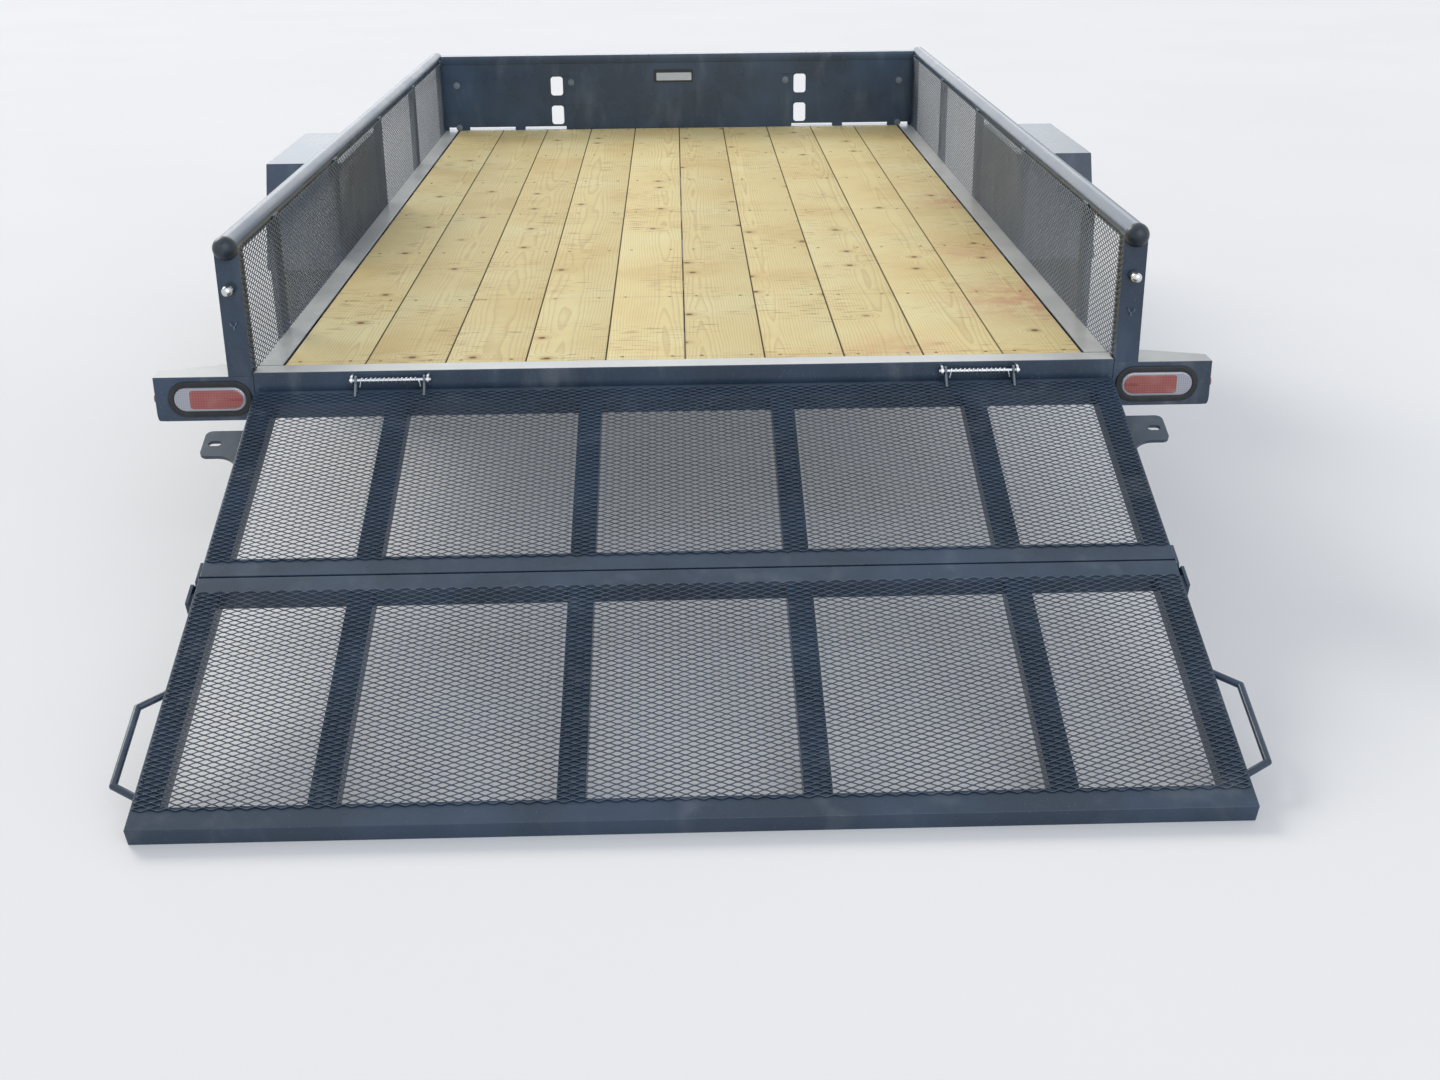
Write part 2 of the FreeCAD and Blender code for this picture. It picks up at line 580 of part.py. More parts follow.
def expanded(label, long, tall, diamond, placement):
    """One sheet of expanded metal: drawn in the XY plane with its low corner at the origin, then placed."""
    corners = ((0, 0), (long, 0), (long, tall), (0, tall), (0, 0))
    rim = Part.makePolygon([FreeCAD.Vector(u, v, 0) for u, v in corners])
    holes = diamonds(long, tall, number("diamond_long"), number(diamond), number("strand"))
    face = Part.makeFace([rim] + holes, "Part::FaceMakerCheese")
    thing = doc.addObject("Part::Feature", label)
    thing.Shape = face.extrude(FreeCAD.Vector(0, 0, number("mesh_thick")))
    thing.Placement = placement
    return thing


def walls():
    """Top rails, uprights, posts, side meshes and end caps."""
    bars = {}
    for side, way in (("left", -1), ("right", 1)):
        middle = f"{way} * rail_half"
        bars[side] = rod("Y", "rail_round", "bed_length", middle, 0, "rail_height")
        bore = rod("Y", "rail_round - rail_wall", "bed_length", middle, 0, "rail_height")
        node(f"top_rail_{side}", cut(bars[side], bore))
    inner = "rail_half - upright_wide / 2"
    tall = "rail_height - lamp_top"
    solid = block(inner, 0, "lamp_top", "upright_wide", "upright_deep", tall)
    hollow = block(f"{inner} + rail_wall", "rail_wall", "lamp_top",
                   "upright_wide - 2 * rail_wall", "upright_deep", tall)
    upright = cut(solid, hollow, bars["right"])
    node("upright_left", mirrored(upright))
    node("upright_right", upright)
    posts = []
    foot = "deck_top - post_down"
    for k in range(int(number("post_count"))):
        where = f"post_first + {k} * post_pitch"
        solid = block("frame_half", where, foot, "post_deep", "post_wide", f"rail_height - ({foot})")
        hollow = block("frame_half + rail_wall", f"{where} + rail_wall", foot, "post_deep",
                       "post_wide - 2 * rail_wall", f"rail_height - ({foot})")
        posts += both(cut(solid, hollow, bars["right"]))
    node("wall_posts", *posts)
    long = val("wall_in - corner_deep")
    tall = val("rail_height - deck_top - mesh_under")
    on_edge = FreeCAD.Matrix(0, 0, 1, 0, 1, 0, 0, 0, 0, 1, 0, 0, 0, 0, 0, 1)
    for side, low_x in (("left", "-1 * frame_half"), ("right", "frame_half - mesh_thick")):
        placement = FreeCAD.Placement(on_edge)
        placement.Base = FreeCAD.Vector(val(low_x), val("corner_deep"), val("deck_top"))
        node(f"side_mesh_{side}", expanded("mesh", long, tall, "wall_diamond", placement))
    dome = ball("rail_round + cap_over", "rail_half", "-1 * cap_set", "rail_height")
    behind = block("rail_half - 2 * rail_round", "-4 * rail_round", "rail_height - 2 * rail_round",
                   "4 * rail_round", "4 * rail_round", "4 * rail_round")
    node("rail_caps", *both(common(dome, behind)))


def latches():
    """Knobs and hooks on the uprights that hold the raised gate by its tabs."""
    height = "rail_height - knob_down"
    base = rod("Y", "knob_round", "knob_base", "rail_half", "-1 * knob_base", height)
    stem = rod("Y", "knob_base", "knob_out - knob_base", "rail_half", "-1 * knob_out", height)
    knob = ball("knob_round", "rail_half", "-1 * knob_out", height)
    hook = block("rail_half - hook_wide / 2", "-1 * hook_out", "rail_height - hook_down",
                 "hook_wide", "hook_out", "hook_tall")
    node("gate_latches", *both(fuse(base, stem, knob)), *both(hook))


def front_wall():
    """Sheet front wall with a folded top, two posts, four rounded slots and drain gaps at its foot."""
    skin = padded("YZ", [
        ("wall_in", "deck_top"), ("wall_in", "wall_top"), ("bed_length", "wall_top"),
        ("bed_length", "wall_top - wall_lip"), ("bed_length - wall_sheet", "wall_top - wall_lip"),
        ("bed_length - wall_sheet", "wall_top - wall_sheet"),
        ("wall_in + wall_sheet", "wall_top - wall_sheet"), ("wall_in + wall_sheet", "deck_top"),
    ], "2 * wall_half", "-1 * wall_half")
    before, through = "wall_in - wall_sheet", "3 * wall_sheet"
    holes = []
    for way in (-1, 1):
        for low in ("deck_top + slot_low", "deck_top + slot_low + slot_tall + slot_between"):
            low_x = f"{way} * slot_side - slot_wide / 2"
            holes.append(block(low_x, before, low, "slot_wide", through, "slot_tall"))
    doc.recompute()
    tools = []
    for hole in holes:
        rounded = doc.addObject("Part::Fillet", "rounded")
        rounded.Base = hole
        radius = number("slot_round")
        along = [abs(e.tangentAt(e.FirstParameter).y) > 0.99 for e in hole.Shape.Edges]
        edges = [k for k, straight in enumerate(along, 1) if straight]
        rounded.Edges = [(k, radius, radius) for k in edges]
        tools.append(rounded)
    # Drain gaps on one side: start and length as shares of half the wall.
    for start, share in ((0.482, 0.175), (0.7, 0.193), (0.934, 0.047)):
        tools += both(block(f"{start} * wall_half", before, "deck_top", f"{share} * wall_half", through,
                            "drain_tall"))
    node("front_wall", cut(skin, *tools))
    post = block("seam_side - seam_wide / 2", "wall_in + wall_sheet", "deck_top", "seam_wide", "seam_deep",
                 "wall_top - wall_sheet - deck_top")
    node("front_wall_posts", *both(post))


def lamps():
    """Lamp boxes outboard of the frame, rubber grommets, tail lamps and side markers."""
    low = "lamp_top - lamp_tall"
    box = padded("XY", [
        ("frame_half", "0"), ("lamp_out", "0"), ("lamp_out", "lamp_far"), ("frame_half", "lamp_near"),
    ], "lamp_tall", 0, 0, low)
    hollow = padded("XY", [
        ("frame_half", "sheet"), ("lamp_out - sheet", "sheet"), ("lamp_out - sheet", "lamp_far - sheet"),
        ("frame_half", "lamp_near - sheet"),
    ], "lamp_tall - sheet", 0, 0, low)
    hole = stadium("lens_long + 2 * lens_play", "lens_tall + 2 * lens_play", "3 * sheet",
                   "lamp_mid", "-1 * sheet", "lamp_height")
    node("lamp_boxes", *both(cut(box, hollow, hole)))
    rim = stadium("lens_long + 2 * grommet_rim", "lens_tall + 2 * grommet_rim", "grommet_proud",
                  "lamp_mid", "-1 * grommet_proud", "lamp_height")
    lens = stadium("lens_long", "lens_tall", "lamp_proud + lens_deep",
                   "lamp_mid", "-1 * lamp_proud", "lamp_height")
    node("lamp_grommets", *both(cut(rim, lens)))
    node("tail_lamps", *both(lens))
    marker = rod("X", "marker_round", "marker_proud", "lamp_out", "marker_in", "lamp_top - marker_down")
    node("side_markers", *both(marker))


def hinge():
    """Trailer side of the gate hinges: brackets with rods, and the coils on the rods."""
    back = "-1 * hinge_back"
    brackets = []
    coils = []
    for way in (-1, 1):
        mid = f"{way} * hinge_side"
        pieces = []
        for end in (-1, 1):
            low_x = f"{mid} + {end} * hinge_long / 2 - lug_thick / 2"
            pieces.append(block(low_x, back, "hinge_height - lug_round",
                                "lug_thick", "hinge_back", "2 * lug_round"))
            pieces.append(rod("X", "lug_round", "lug_thick", low_x, back, "hinge_height"))
        pieces.append(rod("X", "hinge_rod", "hinge_long + 2 * hinge_end",
                          f"{mid} - hinge_long / 2 - hinge_end", back, "hinge_height"))
        brackets.append(fuse(*pieces))
        start = f"{mid} - coil_long / 2"
        turns = [rod("X", "coil_sleeve", "coil_long", start, back, "hinge_height")]
        for k in range(int(number("coil_turns"))):
            where = f"{start} + {k + 0.5} * coil_long / coil_turns - coil_wire"
            turns.append(rod("X", "coil_sleeve + coil_wire", "2 * coil_wire", where, back, "hinge_height"))
        bore = rod("X", "hinge_rod + run_clear", "coil_long", start, back, "hinge_height")
        coils.append(cut(fuse(*turns), bore))
    node("hinge_brackets", *brackets)
    node("hinge_coils", *coils)


def gutter(x, y, z, long_x, long_y, long_z):
    """A formed bar: a box that is open below, with closed ends."""
    hollow = block(f"{x} + bar_wall", f"{y} + bar_wall", z,
                   f"{long_x} - 2 * bar_wall", f"{long_y} - 2 * bar_wall", f"{long_z} - bar_wall")
    return cut(block(x, y, z, long_x, long_y, long_z), hollow)


def panel(label, start, long, near_edge):
    """A gate panel: two cross bars, the bars along it and a sheet of mesh on top, lapped over the far bar."""
    down = "-1 * gate_deep"
    far = f"-1 * ({start}) - {long}"
    bars = [
        gutter("-gate_half", f"-1 * ({start}) - bar_wide", down, "(2 * gate_half)", "bar_wide", "gate_deep"),
        gutter("-gate_half", far, down, "(2 * gate_half)", "bar_wide", "gate_deep"),
    ]
    inner_long = f"({long} - 2 * bar_wide)"
    lows = ["-1 * gate_half", "gate_half - bar_wide"]
    lows += [f"({k} - (bar_count - 1) / 2) * bar_pitch - bar_wide / 2" for k in range(int(number("bar_count")))]
    for low_x in lows:
        bars.append(gutter(low_x, f"{far} + bar_wide", down, "bar_wide", inner_long, "gate_deep"))
    gate_node(f"{label}_frame", fuse(*bars))
    wide = val("2 * gate_half - 2 * mesh_inset")
    tall = val(f"{long} - {near_edge} - mesh_bare")
    placement = FreeCAD.Placement(FreeCAD.Vector(-wide / 2, val(f"{far} + mesh_bare"), 0), FreeCAD.Rotation())
    gate_node(f"{label}_mesh", expanded("mesh", wide, tall, "gate_diamond", placement))


def gate():
    """The bi-fold gate: two panels, hinge lugs, latch tabs, fold ears and handles."""
    panel("upper_gate", "0", "gate_upper", "mesh_inset")
    panel("lower_gate", "gate_upper + gate_gap", "gate_lower", "mesh_bare")
    lugs = []
    for way in (-1, 1):
        for end in (-1, 1):
            low_x = f"{way} * hinge_side + {end} * lug_side - lug_thick / 2"
            foot = padded("YZ", [
                ("-1 * lug_set - lug_foot", "mesh_thick"), ("-1 * lug_set", "mesh_thick"),
                ("-1 * eye_s + lug_round * 0.9", "eye_n"), ("-1 * eye_s - lug_round * 0.9", "eye_n"),
            ], "lug_thick", low_x)
            eye = rod("X", "lug_round", "lug_thick", low_x, "-1 * eye_s", "eye_n")
            hole = rod("X", "hinge_rod + run_clear", "lug_thick", low_x, "-1 * eye_s", "eye_n")
            lugs.append(cut(fuse(foot, eye), hole))
    gate_node("gate_lugs", *lugs)
    low = "-1 * (gate_deep + tab_thick) / 2"
    foot = "-1 * tab_at - tab_long / 2"
    straight = "tab_reach - tab_round"
    corners = [
        rod("Z", "tab_round", "tab_thick", f"gate_half + {straight}", f"{foot} + {rise}", low)
        for rise in ("tab_round", "(tab_long - tab_round)")
    ]
    gusset = cut(
        block("gate_half", f"{foot} - gusset_round", low, "gusset_round", "gusset_round", "tab_thick"),
        rod("Z", "gusset_round", "tab_thick", "gate_half + gusset_round", f"{foot} - gusset_round", low),
    )
    tab = fuse(
        block("gate_half", foot, low, straight, "tab_long", "tab_thick"),
        block("gate_half", f"{foot} + tab_round", low, "tab_reach", "tab_long - 2 * tab_round", "tab_thick"),
        *corners, gusset,
    )
    slot_x = "gate_half + tab_slot_in"
    slot = fuse(
        block(slot_x, "-1 * tab_at - tab_slot_round", low, "tab_slot_run", "2 * tab_slot_round", "tab_thick"),
        rod("Z", "tab_slot_round", "tab_thick", slot_x, "-1 * tab_at", low),
        rod("Z", "tab_slot_round", "tab_thick", f"{slot_x} + tab_slot_run", "-1 * tab_at", low),
    )
    gate_node("latch_tabs", *both(cut(tab, slot)))
    folds()
    handles()


def ear(way, low_x):
    """A pointed ear: way is 1 for the upper panel's and -1 for the lower panel's."""
    back = f"fold_at + {way} * ear_long / 2"
    behind, ahead = f"fold_at + {way} * ear_nose", f"fold_at - {way} * ear_nose"
    return padded("YZ", [
        (back, "0"), (back, "-1 * gate_deep"), (behind, "fold_low - ear_nose"), (ahead, "fold_low - ear_nose"),
        (ahead, "fold_low + ear_nose"), (f"fold_at + {way} * gate_gap", "0"),
    ], "ear_thick", low_x)


def folds():
    """Ears and pins at the fold between the two panels."""
    hole = rod("X", "pin_round + run_clear", "ear_thick", "gate_half", "fold_at", "fold_low")
    gate_node("upper_fold_ears", *both(cut(ear(1, "gate_half"), hole)))
    pad = block("gate_half", "fold_at - ear_long / 2", "-1 * ear_pad_top - ear_pad_tall",
                "ear_thick + ear_gap", "ear_pad_long", "ear_pad_tall")
    pin = rod("X", "pin_round", "2 * ear_thick + pin_proud", "gate_half + ear_gap", "fold_at", "fold_low")
    outer = ear(-1, "gate_half + ear_thick + ear_gap")
    gate_node("lower_fold_ears", *both(fuse(outer, pad, pin)))


def handles():
    """Bent round-bar handles on the outer sides of the lower panel."""
    near = val("-1 * gate_upper - gate_gap - handle_first")
    far = val("-1 * gate_upper - gate_gap - handle_last")
    half = val("gate_half")
    radius = val("handle_rod")
    outer = half + val("handle_out") - radius
    level = -val("gate_deep") / 2
    bend_near, bend_far = near - val("handle_near_run"), far + val("handle_far_run")
    corners = ((half, near), (outer, bend_near), (outer, bend_far), (half, far))
    spots = [FreeCAD.Vector(x, y, level) for x, y in corners]
    bars = [Part.makeCylinder(radius, (b - a).Length, a, b - a) for a, b in zip(spots, spots[1:])]
    bars += [Part.makeSphere(radius, spot) for spot in spots[1:-1]]
    panel_side = Part.makeBox(4 * radius, near - far + 4 * radius, 4 * radius,
                              FreeCAD.Vector(half - 4 * radius, far - 2 * radius, level - 2 * radius))
    thing = doc.addObject("Part::Feature", "handle")
    thing.Shape = bars[0].multiFuse(bars[1:]).cut(panel_side)
    gate_node("gate_handles", *both(thing))


def axle():
    """Dropped axle beam with its bent arms and spindles."""
    centre = "wheel_from_rear"
    foot = "wheel_half - spindle_in"
    beam = rod("X", "axle_round", "2 * axle_bend", "-1 * axle_bend", centre, "axle_height")
    arm = doc.addObject("Part::Cylinder", "arm")
    bind(arm, Radius="axle_round", Height="sqrt(arm_run ^ 2 + axle_drop ^ 2)")
    turned(arm, (0, 1, 0), "atan(arm_run / axle_drop)")
    place(arm, "axle_bend", centre, "axle_height")
    bends = [
        ball("axle_round", "axle_bend", centre, "axle_height"), ball("axle_round", foot, centre, "tyre_round"),
    ]
    spindle = rod("X", "spindle_round", "spindle_long", foot, centre, "tyre_round")
    arms = fuse(arm, *bends, spindle)
    node("axle", fuse(beam, arms, mirrored(arms)))


def springs():
    """Leaf springs with rolled eyes, their hangers on the frame and their clamps on the axle."""
    centre = "wheel_from_rear"
    stack = []
    for k in range(int(number("leaf_count"))):
        middle = "leaf_high + leaf_bend"
        outer = rod("X", f"leaf_bend + {k + 1} * leaf_thick", "leaf_wide", "leaf_edge", centre, middle)
        inner = rod("X", f"leaf_bend + {k} * leaf_thick", "leaf_wide", "leaf_edge", centre, middle)
        reach = f"(leaf_half - {k} * leaf_step)"
        window = block("leaf_edge", f"{centre} - {reach}", "leaf_low", "leaf_wide", f"2 * {reach}",
                       "leaf_count * leaf_thick + leaf_sag + eye_round")
        stack.append(common(cut(outer, inner), window))
    eyes = []
    bores = []
    hangers = []
    for end in (-1, 1):
        eye_y = f"{centre} + {end} * leaf_half"
        eyes.append(rod("X", "eye_round", "leaf_wide", "leaf_edge", eye_y, "eye_height"))
        bores.append(rod("X", "eye_pin + run_clear", "leaf_wide", "leaf_edge", eye_y, "eye_height"))
        over = "(hanger_gap + hanger_thick + hanger_pin)"
        pin_long = f"leaf_wide + 2 * {over}"
        hangers.append(rod("X", "eye_pin", pin_long, f"leaf_edge - {over}", eye_y, "eye_height"))
        for low_x in ("leaf_edge - hanger_gap - hanger_thick", "leaf_edge + leaf_wide + hanger_gap"):
            hangers.append(block(low_x, f"{eye_y} - hanger_long / 2", "eye_height - hanger_low",
                                 "hanger_thick", "hanger_long", "hanger_low + hanger_rise"))
    node("leaf_springs", *both(cut(fuse(*stack, *eyes), *bores)))
    node("spring_hangers", *both(fuse(*hangers)))
    clamps = []
    for low in ("clamp_low", "clamp_top"):
        clamps.append(block("leaf_side - clamp_half", f"{centre} - clamp_long", low,
                            "2 * clamp_half", "2 * clamp_long", "clamp_plate"))
    tall = "clamp_top + clamp_plate - clamp_low + 2 * clamp_end"
    for side in (-1, 1):
        for end in (-1, 1):
            clamps.append(rod("Z", "clamp_rod", tall, f"leaf_side + {side} * clamp_x",
                              f"{centre} + {end} * clamp_y", "clamp_low - clamp_end"))
    node("spring_clamps", *both(fuse(*clamps)))


def wheels():
    """Tyres, rims with hand holes and hubs with their caps."""
    spot = ("wheel_half", "wheel_from_rear", "tyre_round")
    sidewall = [
        ("tread_half", "tyre_round"), ("tyre_half - tread_edge", "tyre_round - tread_drop"),
        ("tyre_half - shoulder_in", "tyre_round - shoulder_drop"), ("tyre_half", "rim_round + bulge_up"),
        ("tyre_half - bead_in", "rim_round + bead_up"), ("rim_half", "rim_round"),
    ]
    inner_side = [(f"-1 * ({x})", r) for x, r in reversed(sidewall)]
    tyre = revolved(inner_side + sidewall, *spot)
    rim = revolved([
        ("-rim_half", "rim_round"), ("-rim_half", "rim_round - rim_lip"),
        ("-1 * well_in", "rim_round - well_deep"), ("dish_out", "rim_round - well_deep - rim_lip"),
        ("crown_out", "crown_round"), ("dish_out", "dish_round"), ("dish_out", "rim_hole"),
        ("dish_front", "rim_hole"), ("dish_front", "dish_round"), ("crown_out + disc_thick", "crown_round"),
        ("dish_front", "rim_round - well_deep"), ("rim_half", "rim_round - rim_lip"),
        ("rim_half", "rim_round"),
    ], *spot)
    hands = []
    for k in range(int(number("hand_count"))):
        angle = f"({k} * 360 / hand_count)"
        hands.append(rod("X", "hand_round", "rim_half", "wheel_half",
                         f"wheel_from_rear + hand_ring * sin({angle})",
                         f"tyre_round + hand_ring * cos({angle})"))
    hub = revolved([
        ("-1 * hub_in", "spindle_round + run_clear"), ("-1 * hub_in", "hub_round"), ("dish_out", "hub_round"),
        ("dish_out", "cap_foot"), ("cap_front - cap_edge", "cap_round"), ("cap_front", "cap_tip"),
        ("cap_front", "0"), ("cap_front - cap_wall", "0"),
        ("cap_front - cap_wall", "spindle_round + run_clear"),
    ], *spot)
    pierced = cut(rim, *hands)
    for name, piece in (("tyre", tyre), ("rim", pierced), ("hub", hub)):
        node(f"{name}_left", mirrored(piece))
        node(f"{name}_right", piece)


def fenders():
    """Boxy fenders with sloped ends, an inner skin and an outer lip."""
    mid = "wheel_from_rear"
    flat = "fender_flat / 2"
    outer = [
        (f"{mid} - fender_foot", "fender_low"), (f"{mid} - {flat}", "fender_top"),
        (f"{mid} + {flat}", "fender_top"), (f"{mid} + fender_foot", "fender_low"),
    ]
    skin = padded("YZ", outer + [
        (f"{mid} + fender_foot - 2 * fender_sheet", "fender_low"),
        (f"{mid} + {flat} - fender_sheet", "fender_top - fender_sheet"),
        (f"{mid} - {flat} + fender_sheet", "fender_top - fender_sheet"),
        (f"{mid} - fender_foot + 2 * fender_sheet", "fender_low"),
    ], "fender_wide", "fender_in")
    inner = padded("YZ", outer, "fender_sheet", "fender_in")
    lip = padded("YZ", outer + [
        (f"{mid} + fender_foot - lip_foot", "fender_low"),
        (f"{mid} + {flat} - lip_corner", "fender_top - lip_tall"),
        (f"{mid} - {flat} + lip_corner", "fender_top - lip_tall"),
        (f"{mid} - fender_foot + lip_foot", "fender_low"),
    ], "fender_sheet", "fender_out - fender_sheet")
    whole = fuse(skin, inner, lip)
    node("fender_left", mirrored(whole))
    node("fender_right", whole)


def tongue():
    """A-frame tongue rails, and the coupler with its lever."""
    outer = block("-1 * tongue_wide / 2", 0, 0, "tongue_wide", "tongue_long", "tongue_tall")
    hollow = block("-1 * tongue_wide / 2 + sheet", 0, "sheet", "tongue_wide - 2 * sheet", "tongue_long",
                   "tongue_tall - 2 * sheet")
    rail = group(cut(outer, hollow))
    turned(rail, (0, 0, 1), "tongue_angle")
    place(rail, "tongue_tip + tongue_long * sin(tongue_angle)", "bed_length - tongue_back",
          "tongue_top - tongue_tall")
    node("tongue_rails", *both(rail))
    plate = padded("XY", [
        ("-1 * plate_half", "tip_y - plate_back"), ("plate_half", "tip_y - plate_back"),
        ("plate_waist", "tip_y - nose_in"), ("nose_half", "tip_y + nose_out"),
        ("-1 * nose_half", "tip_y + nose_out"), ("-1 * plate_waist", "tip_y - nose_in"),
    ], "plate_thick", 0, 0, "tongue_top")
    middle = "tongue_top + ball_rise"
    foot = f"{middle} - skirt_tall"
    shell = ball("socket_round", 0, "socket_y", middle)
    skirt = rod("Z", "socket_round", "skirt_tall", 0, "socket_y", foot)
    neck = block("-1 * neck_wide / 2", "tip_y - neck_back", "tongue_top", "neck_wide",
                 "neck_back + socket_set + socket_round", "neck_tall")
    seat = ball("ball_round", 0, "socket_y", middle)
    mouth = rod("Z", "ball_round", "socket_round", 0, "socket_y", f"{middle} - socket_round")
    jack_way = rod("Z", "jack_round + jack_seat", "plate_thick", 0, "jack_y", "tongue_top")
    node("coupler", cut(fuse(plate, shell, skirt, neck), seat, mouth, jack_way))
    top = "tongue_top + neck_tall"
    lever = block("-1 * lever_wide / 2", "tip_y - lever_back", top, "lever_wide", "lever_long", "lever_thick")
    grip = block("-1 * lever_wide / 2", "tip_y - grip_back", f"{top} + lever_thick", "lever_wide", "grip_back",
                 "lever_thick")
    hole = rod("Z", "pin_hole", "lever_thick", 0, "tip_y - pin_back", f"{top} + lever_thick")
    node("coupler_lever", cut(fuse(lever, grip), hole))


def jack():
    """Tongue jack: outer tube with its flange, crank, sliding leg and foot."""
    tube = rod("Z", "jack_round", "jack_high - jack_low", 0, "jack_y", "jack_low")
    bore = rod("Z", "leg_round + leg_clear", "jack_high - jack_low", 0, "jack_y", "jack_low")
    flange = rod("Z", "flange_round", "plate_thick", 0, "jack_y", "tongue_top + plate_thick")
    node("jack_tube", cut(fuse(tube, flange), bore))
    head = rod("Z", "jack_round", "crank_head", 0, "jack_y", "jack_high")
    shaft = rod("X", "crank_rod", "crank_out + crank_rod", 0, "jack_y", "jack_high + crank_head / 2")
    arm = block("crank_out", "jack_y - crank_wide / 2", "jack_high - crank_down - crank_wide", "crank_rod",
                "crank_wide", "crank_down + crank_wide + crank_head / 2 + crank_rod + 1")
    grip = rod("X", "grip_round", "grip_long", "crank_out + crank_rod", "jack_y", "jack_high - crank_down")
    node("jack_crank", fuse(head, shaft, arm, grip))
    node("jack_leg", rod("Z", "leg_round", "jack_high - leg_top - foot_thick", 0, "jack_y", "foot_thick"))
    node("jack_foot", rod("Z", "foot_round", "foot_thick", 0, "jack_y", 0))


frame()
walls()
latches()
front_wall()
lamps()
hinge()
gate()
axle()
springs()
wheels()
fenders()
tongue()
jack()
doc.recompute()

broken = [thing.Label for thing in doc.Objects if {"Invalid", "Error"} & set(thing.State)]
if broken:
    raise SystemExit(f"not built: {broken}")
os.makedirs("parts", exist_ok=True)
for thing in NODES:
    if thing.Shape.isNull() or not thing.Shape.isValid():
        raise SystemExit(f"bad shape: {thing.Label}")
for thing in NODES:
    thing.Shape.exportStep(os.path.join("parts", thing.Label + ".step"))
    print(f"{thing.Label}: {len(thing.Shape.Solids)} solids, {thing.Shape.Volume / 1e6:.3f} litres")
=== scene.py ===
"""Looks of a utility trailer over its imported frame: mesh sides, pine planks, lamps, wheels, folding ramp.

Lengths are metres, +Y runs forward to the coupler, +X to the right side and +Z up, as in the frame.
New pieces are surfaces worked out as whole arrays; materials are node trees on object coordinates.
"""

import json
import math

import bmesh
import bpy
import numpy as np
from mathutils import Matrix, Vector


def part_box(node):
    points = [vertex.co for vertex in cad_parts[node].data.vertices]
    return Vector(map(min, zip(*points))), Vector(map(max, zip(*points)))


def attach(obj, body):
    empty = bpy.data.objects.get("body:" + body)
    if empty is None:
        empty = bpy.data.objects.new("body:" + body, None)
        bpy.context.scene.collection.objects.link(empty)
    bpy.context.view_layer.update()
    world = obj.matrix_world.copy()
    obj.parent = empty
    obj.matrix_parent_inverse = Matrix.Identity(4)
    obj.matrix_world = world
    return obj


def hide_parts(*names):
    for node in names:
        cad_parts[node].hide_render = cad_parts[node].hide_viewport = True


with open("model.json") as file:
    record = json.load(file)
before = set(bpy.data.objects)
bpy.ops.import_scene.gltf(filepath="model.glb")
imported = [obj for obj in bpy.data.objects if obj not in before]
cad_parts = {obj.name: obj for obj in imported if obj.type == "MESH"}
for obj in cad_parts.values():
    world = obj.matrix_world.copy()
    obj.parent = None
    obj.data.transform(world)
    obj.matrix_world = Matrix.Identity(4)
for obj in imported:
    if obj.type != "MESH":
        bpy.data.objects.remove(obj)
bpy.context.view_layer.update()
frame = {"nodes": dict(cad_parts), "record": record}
mm = 0.001

# Places that several pieces share. The ramp starts at gate_start and falls away at gate_slope.
bed_rear = -1.85317
deck_top = 0.489
wall_face = 1.74683
rail_side = 1.011
lens_side, lens_height = 1.0845, 0.429
hinge_back, hinge_height, hinge_side = bed_rear - 18 * mm, 0.472, 0.670
wheel_side, wheel_back, tyre_round = 1.119, -0.18917, 331.5 * mm
gate_start = (bed_rear - 18 * mm, 0.450)
gate_slope = math.radians(19.01316)


# ---------------------------------------------------------------- node trees


def linear(code):
    """Linear red, green, blue and alpha of an sRGB hex colour."""
    parts = np.array([int(code[k:k + 2], 16) for k in (1, 3, 5)]) / 255
    low = parts / 12.92
    high = ((parts + 0.055) / 1.055) ** 2.4
    return (*np.where(parts <= 0.04045, low, high).tolist(), 1.0)


def add(tree, kind, links=None, **settings):
    """Adds a node: links feed its sockets, and a setting fills the socket or the property that it names."""
    made = tree.nodes.new("ShaderNode" + kind)
    for name, value in settings.items():
        if name.islower() and hasattr(made, name):
            setattr(made, name, value)
        else:
            made.inputs[name.replace("_", " ")].default_value = value
    for name, output in (links or {}).items():
        tree.links.new(output, made.inputs[name])
    return made


def per(size):
    """Noise scale whose features are about this many millimetres across."""
    return 1000 / size


def ramp(tree, factor, *stops, smooth=True):
    """Colour ramp over a factor; a stop is a position and a hex colour or a grey."""
    made = add(tree, "ValToRGB", {"Fac": factor})
    made.color_ramp.interpolation = "EASE" if smooth else "LINEAR"
    marks = made.color_ramp.elements
    while len(marks) < len(stops):
        marks.new(0.5)
    for mark, (place, tone) in zip(marks, stops):
        mark.position = place
        mark.color = linear(tone) if isinstance(tone, str) else (tone, tone, tone, 1.0)
    return made.outputs["Color"]


def finish_of(name):
    """New material with its tree, its shader and the object coordinates."""
    made = bpy.data.materials.new(name)
    made.use_nodes = True
    tree = made.node_tree
    tree.nodes.clear()
    shader = add(tree, "BsdfPrincipled")
    add(tree, "OutputMaterial", {"Surface": shader.outputs["BSDF"]})
    return made, tree, shader, add(tree, "TexCoord").outputs["Object"]


def fill(tree, shader, **sockets):
    """Fills the shader's sockets: an output is linked to its socket, and a number is written there."""
    for name, value in sockets.items():
        socket = shader.inputs[name.replace("_", " ")]
        if isinstance(value, bpy.types.NodeSocket):
            tree.links.new(value, socket)
        else:
            socket.default_value = value


def raised(tree, shader, height, millimetres, strength=1.0):
    """Bumps the shader by a height of 0 to 1 that stands for so many millimetres."""
    bump = add(tree, "Bump", {"Height": height}, Strength=strength, Distance=millimetres * mm)
    fill(tree, shader, Normal=bump.outputs["Normal"])


